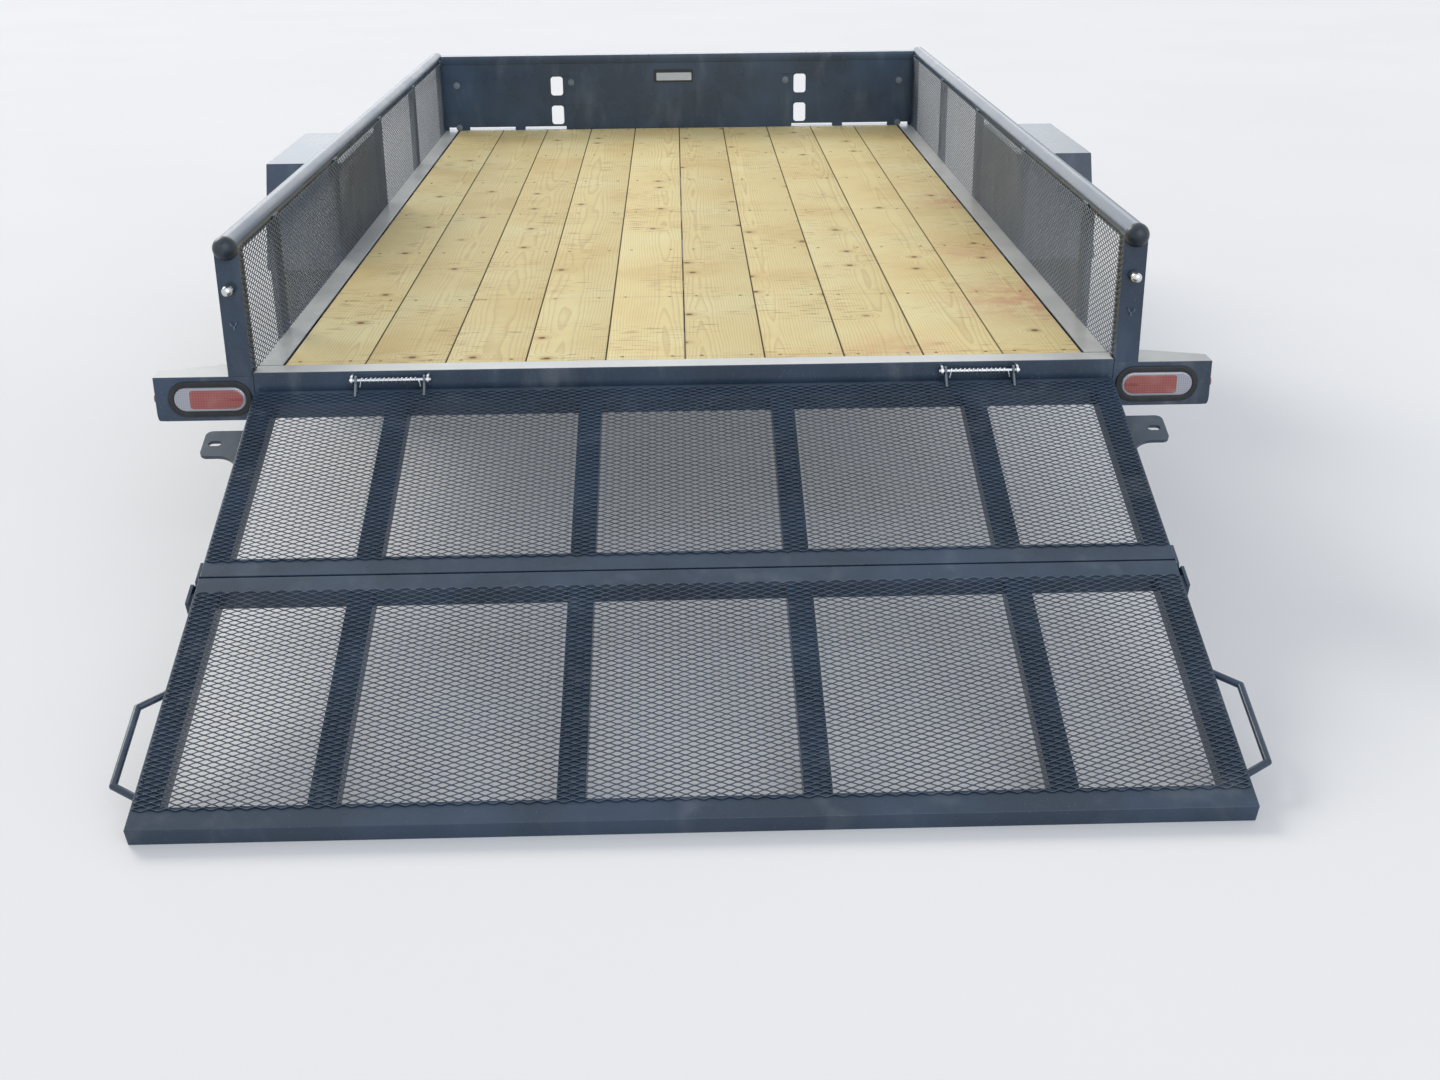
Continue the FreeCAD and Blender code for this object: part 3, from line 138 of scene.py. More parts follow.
def blended(tree, factor, first, second, mode="MIX"):
    """Mixes two colours, each an output or a hex code, by a factor that is an output or a number."""
    made = add(tree, "Mix", data_type="RGBA", blend_type=mode)
    for index, value in ((0, factor), (6, first), (7, second)):
        if isinstance(value, bpy.types.NodeSocket):
            tree.links.new(value, made.inputs[index])
        else:
            made.inputs[index].default_value = linear(value) if isinstance(value, str) else value
    return made.outputs[2]


def powder_coat(name, dark, light, dust_and_sheen, gloss, level_dust_and_sheen):
    """Polyester powder coat, sprayed dry and baked: the film flows to a faint orange peel with a wet gloss.

    Cloudy patches a hand wide and thin wash marks are dust, fine specks are road grit, and level faces
    are paled by a share, the last argument, of the pale colour: partly settled dust, partly a painted
    sheen that stands for light glaring off level gloss paint.
    """
    made, tree, shader, place = finish_of(name)
    clouds = add(tree, "TexNoise", {"Vector": place}, Scale=per(260), Detail=5.0, Roughness=0.62)
    streaks = add(tree, "Mapping", {"Vector": place}, Scale=(1.0, 1.0, 0.3))
    washed = add(tree, "TexNoise", {"Vector": streaks.outputs["Vector"]}, Scale=per(70), Detail=4.0)
    # Road grit is finer than the 2 mm that it is drawn at so that it shows.
    grit = add(tree, "TexNoise", {"Vector": place}, Scale=per(2.2), Detail=2.0)
    patches = ramp(tree, clouds.outputs["Fac"], (0.38, dark), (0.66, light))
    wet = ramp(tree, washed.outputs["Fac"], (0.52, 0.0), (0.78, 0.12))
    film = blended(tree, wet, patches, dust_and_sheen)
    specks = ramp(tree, grit.outputs["Fac"], (0.69, 0.0), (0.76, 0.5))
    faces = add(tree, "NewGeometry").outputs["Normal"]
    upward = add(tree, "SeparateXYZ", {"Vector": faces}).outputs["Z"]
    # Level faces pale toward the pale colour: settled dust and a painted sheen.
    lying = add(tree, "MapRange", {"Value": upward}, From_Min=0.96, From_Max=1.0, To_Max=level_dust_and_sheen)
    uneven = add(tree, "MapRange", {"Value": clouds.outputs["Fac"]},
                 From_Min=0.35, From_Max=0.62, To_Min=0.75)
    dust_and_sheen_share = add(tree, "Math", {0: lying.outputs["Result"], 1: uneven.outputs["Result"]},
                  operation="MULTIPLY")
    dusted_and_sheened = blended(tree, dust_and_sheen_share.outputs[0], film, dust_and_sheen)
    sheen = add(tree, "MapRange", {"Value": clouds.outputs["Fac"]}, From_Min=0.3, From_Max=0.7,
                To_Min=gloss - 0.02, To_Max=gloss + 0.07)
    fill(tree, shader, Base_Color=blended(tree, specks, dusted_and_sheened, dust_and_sheen), Roughness=sheen.outputs["Result"])
    # The real peel is 1 mm from crest to crest; it is drawn at 3 mm so that it shows.
    peel = add(tree, "TexNoise", {"Vector": place}, Scale=per(3), Detail=1.0)
    raised(tree, shader, peel.outputs["Fac"], 0.12, 0.35)
    return made


def treated_pine():
    """Flat-sawn southern pine, pressure treated: pale summer wood between tan winter rings, small dark knots.

    The "grain" attribute holds metres across from a board's pith, along it and down to the pith. A point's
    distance from the pith axis, bent by slow noise, divided by the width of a ring, gives the rings.
    """
    ring_width, knot_cell = 6.5, 170
    made, tree, shader, place = finish_of("treated_pine_sawn")
    grain = add(tree, "Attribute", attribute_name="grain").outputs["Vector"]
    # The slow noise is 200 mm across the board and 1.4 m along it.
    long_way = add(tree, "Mapping", {"Vector": grain}, Scale=(5.0, 0.7, 5.0))
    drift = add(tree, "TexNoise", {"Vector": long_way.outputs["Vector"]},
                Scale=1.0, Detail=3.0, Roughness=0.5)
    wander = add(tree, "MapRange", {"Value": drift.outputs["Fac"]}, To_Min=-0.034, To_Max=0.034)
    # One knot in a cell of the board where the cell's own random number allows one.
    cells = add(tree, "Mapping", {"Vector": grain}, Scale=(per(knot_cell), per(knot_cell), 0.0))
    knots = add(tree, "TexVoronoi", {"Vector": cells.outputs["Vector"]}, Scale=1.0, Randomness=0.95,
                voronoi_dimensions="2D")
    pick = add(tree, "SeparateXYZ", {"Vector": knots.outputs["Color"]})
    chosen = add(tree, "MapRange", {"Value": pick.outputs["X"]}, From_Min=0.78, From_Max=0.80)
    round_a_knot = add(tree, "MapRange", {"Value": knots.outputs["Distance"]}, From_Min=0.34, From_Max=0.03,
                       To_Max=0.020, interpolation_type="SMOOTHSTEP")
    pushed = add(tree, "Math", {0: round_a_knot.outputs["Result"], 1: chosen.outputs["Result"]},
                 operation="MULTIPLY")
    flat = add(tree, "VectorMath", {0: grain}, operation="MULTIPLY")
    flat.inputs[1].default_value = (1.0, 0.0, 1.0)
    away = add(tree, "VectorMath", {0: flat.outputs["Vector"]}, operation="LENGTH")
    bent = add(tree, "Math", {0: away.outputs["Value"], 1: wander.outputs["Result"]}, operation="ADD")
    grown = add(tree, "Math", {0: bent.outputs[0], 1: pushed.outputs[0]}, operation="ADD")
    counted = add(tree, "Math", {0: grown.outputs[0]}, operation="DIVIDE")
    counted.inputs[1].default_value = ring_width * mm
    ring = add(tree, "Math", {0: counted.outputs[0]}, operation="FRACT").outputs[0]
    winter = ramp(tree, ring, (0.0, 0.05), (0.55, 0.2), (0.86, 1.0), (0.97, 0.1), smooth=False)
    # Real fibres are finer; they are drawn 1 mm wide, 70 mm long and 3 mm deep so that they show.
    thin = add(tree, "Mapping", {"Vector": grain}, Scale=(900.0, 14.0, 300.0))
    fibre = add(tree, "TexNoise", {"Vector": thin.outputs["Vector"]}, Scale=1.0, Detail=3.0, Roughness=0.65)
    cast = add(tree, "TexNoise", {"Vector": grain}, Scale=per(420), Detail=3.0, Roughness=0.55)
    sap = ramp(tree, cast.outputs["Fac"], (0.33, "#fff4bc"), (0.50, "#fdebae"), (0.68, "#f4dc9d"))
    plain = blended(tree, winter, sap, "#cda664")
    faint = blended(tree, 0.48, sap, plain)
    hairs = ramp(tree, fibre.outputs["Fac"], (0.34, 0.92), (0.62, 1.0))
    haired = blended(tree, 0.8, faint, hairs, "MULTIPLY")
    heart = add(tree, "MapRange", {"Value": knots.outputs["Distance"]}, From_Min=0.062, From_Max=0.038)
    spot = add(tree, "Math", {0: heart.outputs["Result"], 1: chosen.outputs["Result"]}, operation="MULTIPLY")
    halo = add(tree, "MapRange", {"Value": knots.outputs["Distance"]}, From_Min=0.17, From_Max=0.05,
               To_Max=0.55)
    tinged = add(tree, "Math", {0: halo.outputs["Result"], 1: chosen.outputs["Result"]}, operation="MULTIPLY")
    warm = blended(tree, tinged.outputs[0], haired, "#c19a5c")
    knotted = blended(tree, spot.outputs[0], warm, "#6f4a2a")
    # Planer and bark marks: brown dashes 60 mm across the board and 12 mm along it, in loose clusters.
    dashed = add(tree, "Mapping", {"Vector": grain}, Scale=(per(60), per(12), 1.0))
    dashes = add(tree, "TexNoise", {"Vector": dashed.outputs["Vector"]},
                 Scale=1.0, Detail=2.0, Roughness=0.5)
    flock = add(tree, "TexNoise", {"Vector": place}, Scale=per(240), Detail=3.0)
    few = ramp(tree, flock.outputs["Fac"], (0.45, 0.0), (0.60, 1.0))
    dark = ramp(tree, dashes.outputs["Fac"], (0.51, 0.0), (0.74, 0.60))
    flecked = add(tree, "Math", {0: few, 1: dark}, operation="MULTIPLY")
    marked = blended(tree, flecked.outputs[0], knotted, "#946c38")
    # Thin tan lines across the boards, left by the sticks between them in the drying stack: place, strength.
    stick_lines = ((-1.766, 0.34), (-1.193, 0.30), (-0.054, 0.30), (0.925, 0.22))
    for along, strength in stick_lines:
        line = add(tree, "VectorMath", {0: place}, operation="SUBTRACT")
        line.inputs[1].default_value = (0.0, along, 0.0)
        offset = add(tree, "SeparateXYZ", {"Vector": line.outputs["Vector"]})
        wide = add(tree, "Math", {0: offset.outputs["Y"]}, operation="ABSOLUTE")
        band = add(tree, "MapRange", {"Value": wide.outputs[0]}, From_Min=0.008, From_Max=0.002,
                   To_Max=strength)
        broken = add(tree, "Math", {0: band.outputs["Result"], 1: cast.outputs["Fac"]}, operation="MULTIPLY")
        marked = blended(tree, broken.outputs[0], marked, "#a4743c")
    # Pink marking dye, rubbed into the right-hand boards in four places: x, y, reach, strength.
    blots = add(tree, "TexNoise", {"Vector": place}, Scale=per(70), Detail=5.0, Roughness=0.7)
    dye_rubs = ((0.92, -1.29, 0.34, 0.66), (0.93, 0.07, 0.20, 0.70),
                (0.50, -1.74, 0.22, 0.30), (0.86, -0.72, 0.22, 0.34))
    for spot_x, spot_y, reach, strength in dye_rubs:
        gap = add(tree, "VectorMath", {0: place}, operation="DISTANCE")
        gap.inputs[1].default_value = (spot_x, spot_y, deck_top)
        near = add(tree, "MapRange", {"Value": gap.outputs["Value"]}, From_Min=reach, From_Max=0.02,
                   To_Max=strength, interpolation_type="SMOOTHSTEP")
        patchy = ramp(tree, blots.outputs["Fac"], (0.36, 0.05), (0.62, 1.0))
        dyed = add(tree, "Math", {0: near.outputs["Result"], 1: patchy}, operation="MULTIPLY")
        marked = blended(tree, dyed.outputs[0], marked, "#de8f78")
    # Damp and dirt: wide brown clouds, hardly darker than the wood.
    damp = add(tree, "TexNoise", {"Vector": place}, Scale=per(190), Detail=4.0, Roughness=0.6)
    soiled = ramp(tree, damp.outputs["Fac"], (0.54, 0.0), (0.80, 0.22))
    trodden = blended(tree, soiled, marked, "#c9aa6c")
    # The boards' sides darken from 1 mm below their faces down: painted shade in the gaps between the boards,
    # with the dirt that lies there.
    height = add(tree, "SeparateXYZ", {"Vector": place})
    gap_shade_and_dirt = add(tree, "MapRange", {"Value": height.outputs["Z"]}, From_Min=deck_top - 0.9 * mm,
                 From_Max=deck_top - 2.6 * mm, To_Max=0.92)
    gap_shaded = blended(tree, gap_shade_and_dirt.outputs["Result"], trodden, "#43331b")
    dull = add(tree, "MapRange", {"Value": winter}, To_Min=0.74, To_Max=0.58)
    relief = blended(tree, 0.45, winter, fibre.outputs["Fac"])
    raised(tree, shader, relief, 0.35, 0.5)
    fill(tree, shader, Base_Color=gap_shaded, Roughness=dull.outputs["Result"], Specular_IOR_Level=0.32)
    return made


def tyre_rubber():
    """Carbon black tread rubber out of a steel mould: deep matt black, browner where road dust lies."""
    made, tree, shader, place = finish_of("moulded_tyre_rubber")
    dust = add(tree, "TexNoise", {"Vector": place}, Scale=per(60), Detail=6.0, Roughness=0.7)
    # The mould's pits are finer; they are drawn 1.5 mm wide so that they show.
    pits = add(tree, "TexNoise", {"Vector": place}, Scale=per(1.5), Detail=2.0)
    tone = ramp(tree, dust.outputs["Fac"], (0.35, "#1b1b1c"), (0.58, "#242322"), (0.78, "#3b3732"))
    worn = add(tree, "MapRange", {"Value": dust.outputs["Fac"]}, To_Min=0.55, To_Max=0.9)
    fill(tree, shader, Base_Color=tone, Roughness=worn.outputs["Result"])
    raised(tree, shader, pits.outputs["Fac"], 0.25, 0.4)
    return made


def wheel_enamel():
    """Silver acrylic enamel over pressed steel: flake sparkles a little, brake dust greys it in clouds."""
    made, tree, shader, place = finish_of("silver_wheel_enamel")
    # Real flake is a tenth of this size, too fine to show.
    flake = add(tree, "TexVoronoi", {"Vector": place}, Scale=per(0.9), Randomness=1.0)
    soot = add(tree, "TexNoise", {"Vector": place}, Scale=per(55), Detail=5.0, Roughness=0.65)
    tone = ramp(tree, soot.outputs["Fac"], (0.34, "#b4b7ba"), (0.60, "#a5a7a9"), (0.80, "#85837f"))
    spark = ramp(tree, flake.outputs["Distance"], (0.0, 1.0), (0.6, 0.86))
    flaked = blended(tree, 0.6, tone, spark, "MULTIPLY")
    gloss = add(tree, "MapRange", {"Value": soot.outputs["Fac"]}, To_Min=0.26, To_Max=0.48)
    fill(tree, shader, Base_Color=flaked, Metallic=0.55, Roughness=gloss.outputs["Result"])
    raised(tree, shader, flake.outputs["Distance"], 0.03, 0.3)
    return made


def zinc_plate(name, light, shade, rough):
    """Electroplated and passivated metal: a bright skin, faintly clouded by the drain marks of the bath."""
    made, tree, shader, place = finish_of(name)
    drained = add(tree, "Mapping", {"Vector": place}, Scale=(1.0, 1.0, 0.6))
    blotch = add(tree, "TexNoise", {"Vector": drained.outputs["Vector"]},
                 Scale=per(26), Detail=3.0, Roughness=0.5)
    # The plated crystals are finer; their roughness is drawn at 1.2 mm so that it shows.
    fine = add(tree, "TexNoise", {"Vector": place}, Scale=per(1.2), Detail=2.0)
    tone = ramp(tree, blotch.outputs["Fac"], (0.32, shade), (0.62, light))
    gloss = add(tree, "MapRange", {"Value": blotch.outputs["Fac"]}, To_Min=rough - 0.03, To_Max=rough + 0.07)
    fill(tree, shader, Base_Color=tone, Metallic=1.0, Roughness=gloss.outputs["Result"])
    raised(tree, shader, fine.outputs["Fac"], 0.05, 0.4)
    return made


def moulded_rubber(name, tone, worn, rough):
    """Moulded rubber or soft plastic: even satin black, chalky where it is rubbed or lies in the sun."""
    made, tree, shader, place = finish_of(name)
    chalk = add(tree, "TexNoise", {"Vector": place}, Scale=per(24), Detail=5.0, Roughness=0.65)
    # The mould's own grain, drawn at 0.9 mm so that it shows.
    mould = add(tree, "TexNoise", {"Vector": place}, Scale=per(0.9), Detail=1.0)
    chalked = ramp(tree, chalk.outputs["Fac"], (0.42, tone), (0.72, worn))
    gloss = add(tree, "MapRange", {"Value": chalk.outputs["Fac"]}, To_Min=rough - 0.08, To_Max=rough + 0.12)
    fill(tree, shader, Base_Color=chalked, Roughness=gloss.outputs["Result"])
    raised(tree, shader, mould.outputs["Fac"], 0.06, 0.4)
    return made


def lens_acrylic(name, bright, deep, pitch, mirror):
    """Injection-moulded acrylic lens: a glossy skin over a grid of square prisms, pitch millimetres apart.

    Mirror is the share of the light that the reflector behind it sends back as a metal does.
    """
    made, tree, shader, place = finish_of(name)
    cells = add(tree, "Mapping", {"Vector": place}, Scale=(per(pitch),) * 3)
    steps = add(tree, "VectorMath", {0: cells.outputs["Vector"]}, operation="FRACTION")
    centred = add(tree, "VectorMath", {0: steps.outputs["Vector"]}, operation="SUBTRACT")
    centred.inputs[1].default_value = (0.5, 0.5, 0.5)
    folded = add(tree, "VectorMath", {0: centred.outputs["Vector"]}, operation="ABSOLUTE")
    sides = add(tree, "SeparateXYZ", {"Vector": folded.outputs["Vector"]})
    prism = add(tree, "Math", {0: sides.outputs["X"], 1: sides.outputs["Z"]}, operation="MAXIMUM")
    prism = prism.outputs[0]
    dust = add(tree, "TexNoise", {"Vector": place}, Scale=per(40), Detail=3.0)
    tone = ramp(tree, prism, (0.05, bright), (0.49, deep))
    hazed = ramp(tree, dust.outputs["Fac"], (0.45, 0.0), (0.8, 0.16))
    fill(tree, shader, Base_Color=blended(tree, hazed, tone, "#c9b8b2"), Metallic=mirror, Roughness=0.14,
         IOR=1.49, Coat_Weight=0.6, Coat_Roughness=0.05)
    raised(tree, shader, prism, 0.5, 0.35)
    return made


def brushed_aluminium():
    """Anodised aluminium sheet brushed lengthwise: pale satin with hair-thin level scratches."""
    made, tree, shader, place = finish_of("brushed_aluminium_sheet")
    stretched = add(tree, "Mapping", {"Vector": place}, Scale=(0.02, 1.0, 1.0))
    # Real scratches are finer; they are drawn 0.6 mm wide and 50 times as long so that they show.
    hairs = add(tree, "TexNoise", {"Vector": stretched.outputs["Vector"]}, Scale=per(0.6), Detail=3.0)
    tone = ramp(tree, hairs.outputs["Fac"], (0.3, "#a3adb6"), (0.7, "#c2cbd3"))
    fill(tree, shader, Base_Color=tone, Metallic=0.6, Roughness=0.34)
    raised(tree, shader, hairs.outputs["Fac"], 0.03, 0.5)
    return made


# The frame's coat: its level faces pale by 0.8 toward #a3acb5, partly dust and partly a painted sheen.
coat = powder_coat("charcoal_powder_coat", "#2c3c4e", "#36495f", "#a3acb5", 0.26, 0.80)
# A paler copy of the frame's coat whose level faces turn nearly white: road dust and a painted sheen.
dust_and_sheen_coat = powder_coat("dust_and_painted_sheen_powder_coat", "#2f3f50", "#394b60", "#d6d7d2", 0.30, 0.92)
# The side sheets' coat is lighter than the frame's: a painted lift that stands for sunlight glinting off the
# strands, with some dust as well.
painted_sunlit_mesh_coat = powder_coat("dust_and_painted_sunlight_powder_coat", "#3e4b58", "#4e5c69", "#b4b6b2", 0.30, 0.5)
# The latch tabs' coat is a little lighter than the frame's: painted light, midway between a sunlit tab and a
# shaded one.
half_sunlit_coat = powder_coat("half_sunlit_powder_coat", "#323f4e", "#434f5d", "#a0a4a9", 0.34, 0.3)
rubbed_coat = powder_coat("rubbed_powder_coat", "#66707a", "#7f8992", "#b5babf", 0.34, 0.3)
black_paint = powder_coat("black_chassis_paint", "#17181a", "#202225", "#5d5a55", 0.42, 0.25)
pine = treated_pine()
rubber_tread = tyre_rubber()
wheel_silver = wheel_enamel()
zinc = zinc_plate("bright_zinc_plate", "#d6d9db", "#c3c7ca", 0.30)
tan_zinc = zinc_plate("yellow_passivated_zinc", "#a78f5c", "#7f6c44", 0.46)
chrome = zinc_plate("chrome_plate", "#dcdcda", "#c6c8c9", 0.13)
grommet_rubber = moulded_rubber("moulded_grommet_rubber", "#17191b", "#2a2c2e", 0.48)
cap_plastic = moulded_rubber("black_cap_polyethylene", "#232c35", "#323d47", 0.36)
red_lens = lens_acrylic("red_lens_acrylic", "#ad5a54", "#974740", 6.0, 0.0)
clear_lens = lens_acrylic("clear_lens_acrylic", "#b9bbc3", "#9699a3", 5.0, 0.2)
aluminium = brushed_aluminium()

slot_finish = {
    "paint": coat, "wood": pine, "tyre": rubber_tread, "wheel": wheel_silver, "zinc": zinc,
    "rubber": cap_plastic, "lamp_red": red_lens, "steel": black_paint,
}
node_slot = {part["node"]: part["material_slot"] for part in frame["record"]["subparts"]}


# ---------------------------------------------------------------- surfaces


def unit(vectors):
    """Each vector divided by its length."""
    return vectors / np.linalg.norm(vectors, axis=-1, keepdims=True)


def skin(points, looped=False):
    """Closed shell over a grid of points (rings, corners, 3): quads join neighbours, and caps close the ends.

    The shell's volume is a sixth of the sum of each face's triple product; where it is negative the corners
    are listed the other way round, so that every face looks outwards.
    """
    rings, corners = points.shape[:2]
    i, j = np.meshgrid(np.arange(rings if looped else rings - 1), np.arange(corners), indexing="ij")
    after, beside = (i + 1) % rings, (j + 1) % corners
    quads = np.stack([i * corners + j, after * corners + j, after * corners + beside, i * corners + beside],
                     -1).reshape(-1, 4)
    flat = points.reshape(-1, 3)
    ring = np.arange(corners)
    caps = [] if looped else [ring, ring[::-1] + (rings - 1) * corners]
    a, b, c, d = (flat[quads[:, k]] for k in range(4))
    volume = (a * np.cross(b, c)).sum() + (a * np.cross(c, d)).sum()
    for cap in caps:
        edge = flat[cap]
        volume += (edge[0] * np.cross(edge[1:-1], edge[2:])).sum()
    if volume < 0:
        quads = quads[:, ::-1]
        caps = [cap[::-1] for cap in caps]
    return flat, quads, caps


def carried(path, section, rise=(0, 0, 1), looped=False):
    """A section carried along a path: path[i] plus section[j] measured along the path's side and lift there.

    Side is square to the run and to rise, and lift is square to both.
    """
    path = np.asarray(path, float)
    if looped:
        run = np.roll(path, -1, 0) - np.roll(path, 1, 0)
    else:
        run = np.gradient(path, axis=0)
    run = unit(run)
    side = unit(np.cross(run, np.asarray(rise, float)))
    lift = np.cross(side, run)
    section = np.asarray(section, float)
    points = path[:, None] + section[None, :, :1] * side[:, None] + section[None, :, 1:] * lift[:, None]
    return skin(points, looped)


def turned(profile, centre, axis, steps=48, phase=0.0):
    """A profile of (radius, height) turned about an axis: centre + height*axis + radius*(cos t, sin t)."""
    axis = unit(np.asarray(axis, float))
    upright = abs(axis[2]) >= 0.9
    first = unit(np.cross(axis, (1.0, 0.0, 0.0)) if upright else np.cross((0.0, 0.0, 1.0), axis))
    second = np.cross(axis, first)
    t = phase + np.arange(steps) * 2 * math.pi / steps
    spokes = np.cos(t)[:, None] * first + np.sin(t)[:, None] * second
    profile = np.asarray(profile, float)
    points = np.asarray(centre, float) + profile[:, None, 1:] * axis + profile[:, None, :1] * spokes
    return skin(points)


def circle(radius, steps=12):
    """Points round a circle."""
    t = np.arange(steps) * 2 * math.pi / steps
    return np.stack([radius * np.cos(t), radius * np.sin(t)], -1)


def rounded(wide, tall, radius, steps=4):
    """Rectangle about its middle with quarter-circle corners, counter-clockwise."""
    t = np.linspace(0, math.pi / 2, steps)
    corner = np.stack([np.cos(t), np.sin(t)], -1) * radius
    signs = np.array([(1, 1), (-1, 1), (-1, -1), (1, -1)], float)
    inner = np.array([wide / 2 - radius, tall / 2 - radius])
    turns = [np.array([(math.cos(a), -math.sin(a)), (math.sin(a), math.cos(a))])
             for a in np.arange(4) * math.pi / 2]
    return np.concatenate([corner @ turn.T + sign * inner for sign, turn in zip(signs, turns)])


def capsule(length, tall, inset=0.0, steps=16):
    """Outline of a slot about its middle: two half circles joined by straight sides, drawn in by an inset."""
    radius = tall / 2 - inset
    t = np.linspace(-math.pi / 2, math.pi / 2, steps)
    end = np.stack([radius * np.cos(t) + (length - tall) / 2, radius * np.sin(t)], -1)
    return np.concatenate([end, -end])


def smoothed(corners, radius, steps=6):
    """Path through corners, each rounded by a quadratic curve that starts and ends a radius from it."""
    corners = np.asarray(corners, float)
    before, mid, after = corners[:-2], corners[1:-1], corners[2:]
    start = mid + unit(before - mid) * radius
    end = mid + unit(after - mid) * radius
    t = np.linspace(0, 1, steps)[None, :, None]
    bends = (1 - t) ** 2 * start[:, None] + 2 * t * (1 - t) * mid[:, None] + t ** 2 * end[:, None]
    return np.concatenate([corners[:1], bends.reshape(-1, 3), corners[-1:]])


def mirrored(parts):
    """The parts and their copies across the plane x = 0, with the copies' corners listed the other way."""
    return parts + [(points * (-1, 1, 1), quads[:, ::-1], [cap[::-1] for cap in caps])
                    for points, quads, caps in parts]


def piece(name, parts, material, body, replaces=(), sharp=38, attribute=None):
    """Object of a list of shells (points, quads, caps), joined, smoothed up to an angle, riding on a body."""
    counts = np.cumsum([0] + [len(points) for points, _, _ in parts])
    points = np.concatenate([part[0] for part in parts])
    quads = np.concatenate([part[1] + start for part, start in zip(parts, counts)])
    caps = [cap + start for part, start in zip(parts, counts) for cap in part[2]]
    corners = np.concatenate([quads.ravel(), *caps]).astype(np.int32)
    sizes = np.concatenate([np.full(len(quads), 4), [len(cap) for cap in caps]]).astype(np.int32)
    mesh = bpy.data.meshes.new(name)
    mesh.vertices.add(len(points))
    mesh.vertices.foreach_set("co", points.astype(np.float32).ravel())
    mesh.loops.add(len(corners))
    mesh.loops.foreach_set("vertex_index", corners)
    mesh.polygons.add(len(sizes))
    mesh.polygons.foreach_set("loop_start", np.cumsum(sizes) - sizes)
    mesh.update(calc_edges=True)
    mesh.validate()
    if attribute is not None:
        layer = mesh.attributes.new(attribute[0], "FLOAT_VECTOR", "POINT")
        layer.data.foreach_set("vector", attribute[1].astype(np.float32).ravel())
    if sharp:
        mesh.polygons.foreach_set("use_smooth", np.ones(len(sizes), bool))
        mesh.set_sharp_from_angle(angle=math.radians(sharp))
    mesh.materials.append(material)
    made = bpy.data.objects.new(name, mesh)
    bpy.context.scene.collection.objects.link(made)
    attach(made, body)
    if replaces:
        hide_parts(*replaces)


body_of = {node: body for body, nodes in frame["record"]["behaviour"]["bodies"].items() for node in nodes}


def eased(node, width, material=None, rolled=None):
    """Stands for a CAD node: a merged copy of its mesh whose sharp edges are broken by a small round.

    Rolled is a width and a test: an edge whose two ends both pass the test first gets a round of that width.
    """
    crease = math.radians(32)
    work = bmesh.new()
    work.from_mesh(frame["nodes"][node].data)
    bmesh.ops.remove_doubles(work, verts=work.verts, dist=0.00002)
    bmesh.ops.join_triangles(work, faces=work.faces, angle_face_threshold=math.radians(0.5),
                             angle_shape_threshold=math.radians(60))
    if rolled:
        chosen = [edge for edge in work.edges if all(rolled[1](corner.co) for corner in edge.verts)]
        bmesh.ops.bevel(work, geom=chosen, offset=rolled[0], offset_type="OFFSET", segments=5, profile=0.5,
                        affect="EDGES")
    mesh = bpy.data.meshes.new(node + "_eased")
    work.to_mesh(mesh)
    work.free()
    mesh.materials.clear()
    mesh.materials.append(material or slot_finish[node_slot[node]])
    mesh.polygons.foreach_set("use_smooth", np.ones(len(mesh.polygons), bool))
    mesh.polygons.foreach_set("material_index", np.zeros(len(mesh.polygons), np.int32))
    if "custom_normal" in mesh.attributes:
        mesh.attributes.remove(mesh.attributes["custom_normal"])
    mesh.set_sharp_from_angle(angle=crease)
    made = bpy.data.objects.new(node + "_eased", mesh)
    bpy.context.scene.collection.objects.link(made)
    bevel = made.modifiers.new("rounded edges", "BEVEL")
    bevel.width = width
    bevel.segments = 2
    bevel.limit_method = "ANGLE"
    bevel.angle_limit = crease
    bevel.harden_normals = True
    bevel.miter_outer = "MITER_ARC"
    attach(made, body_of[node])
    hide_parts(node)


# ---------------------------------------------------------------- expanded metal


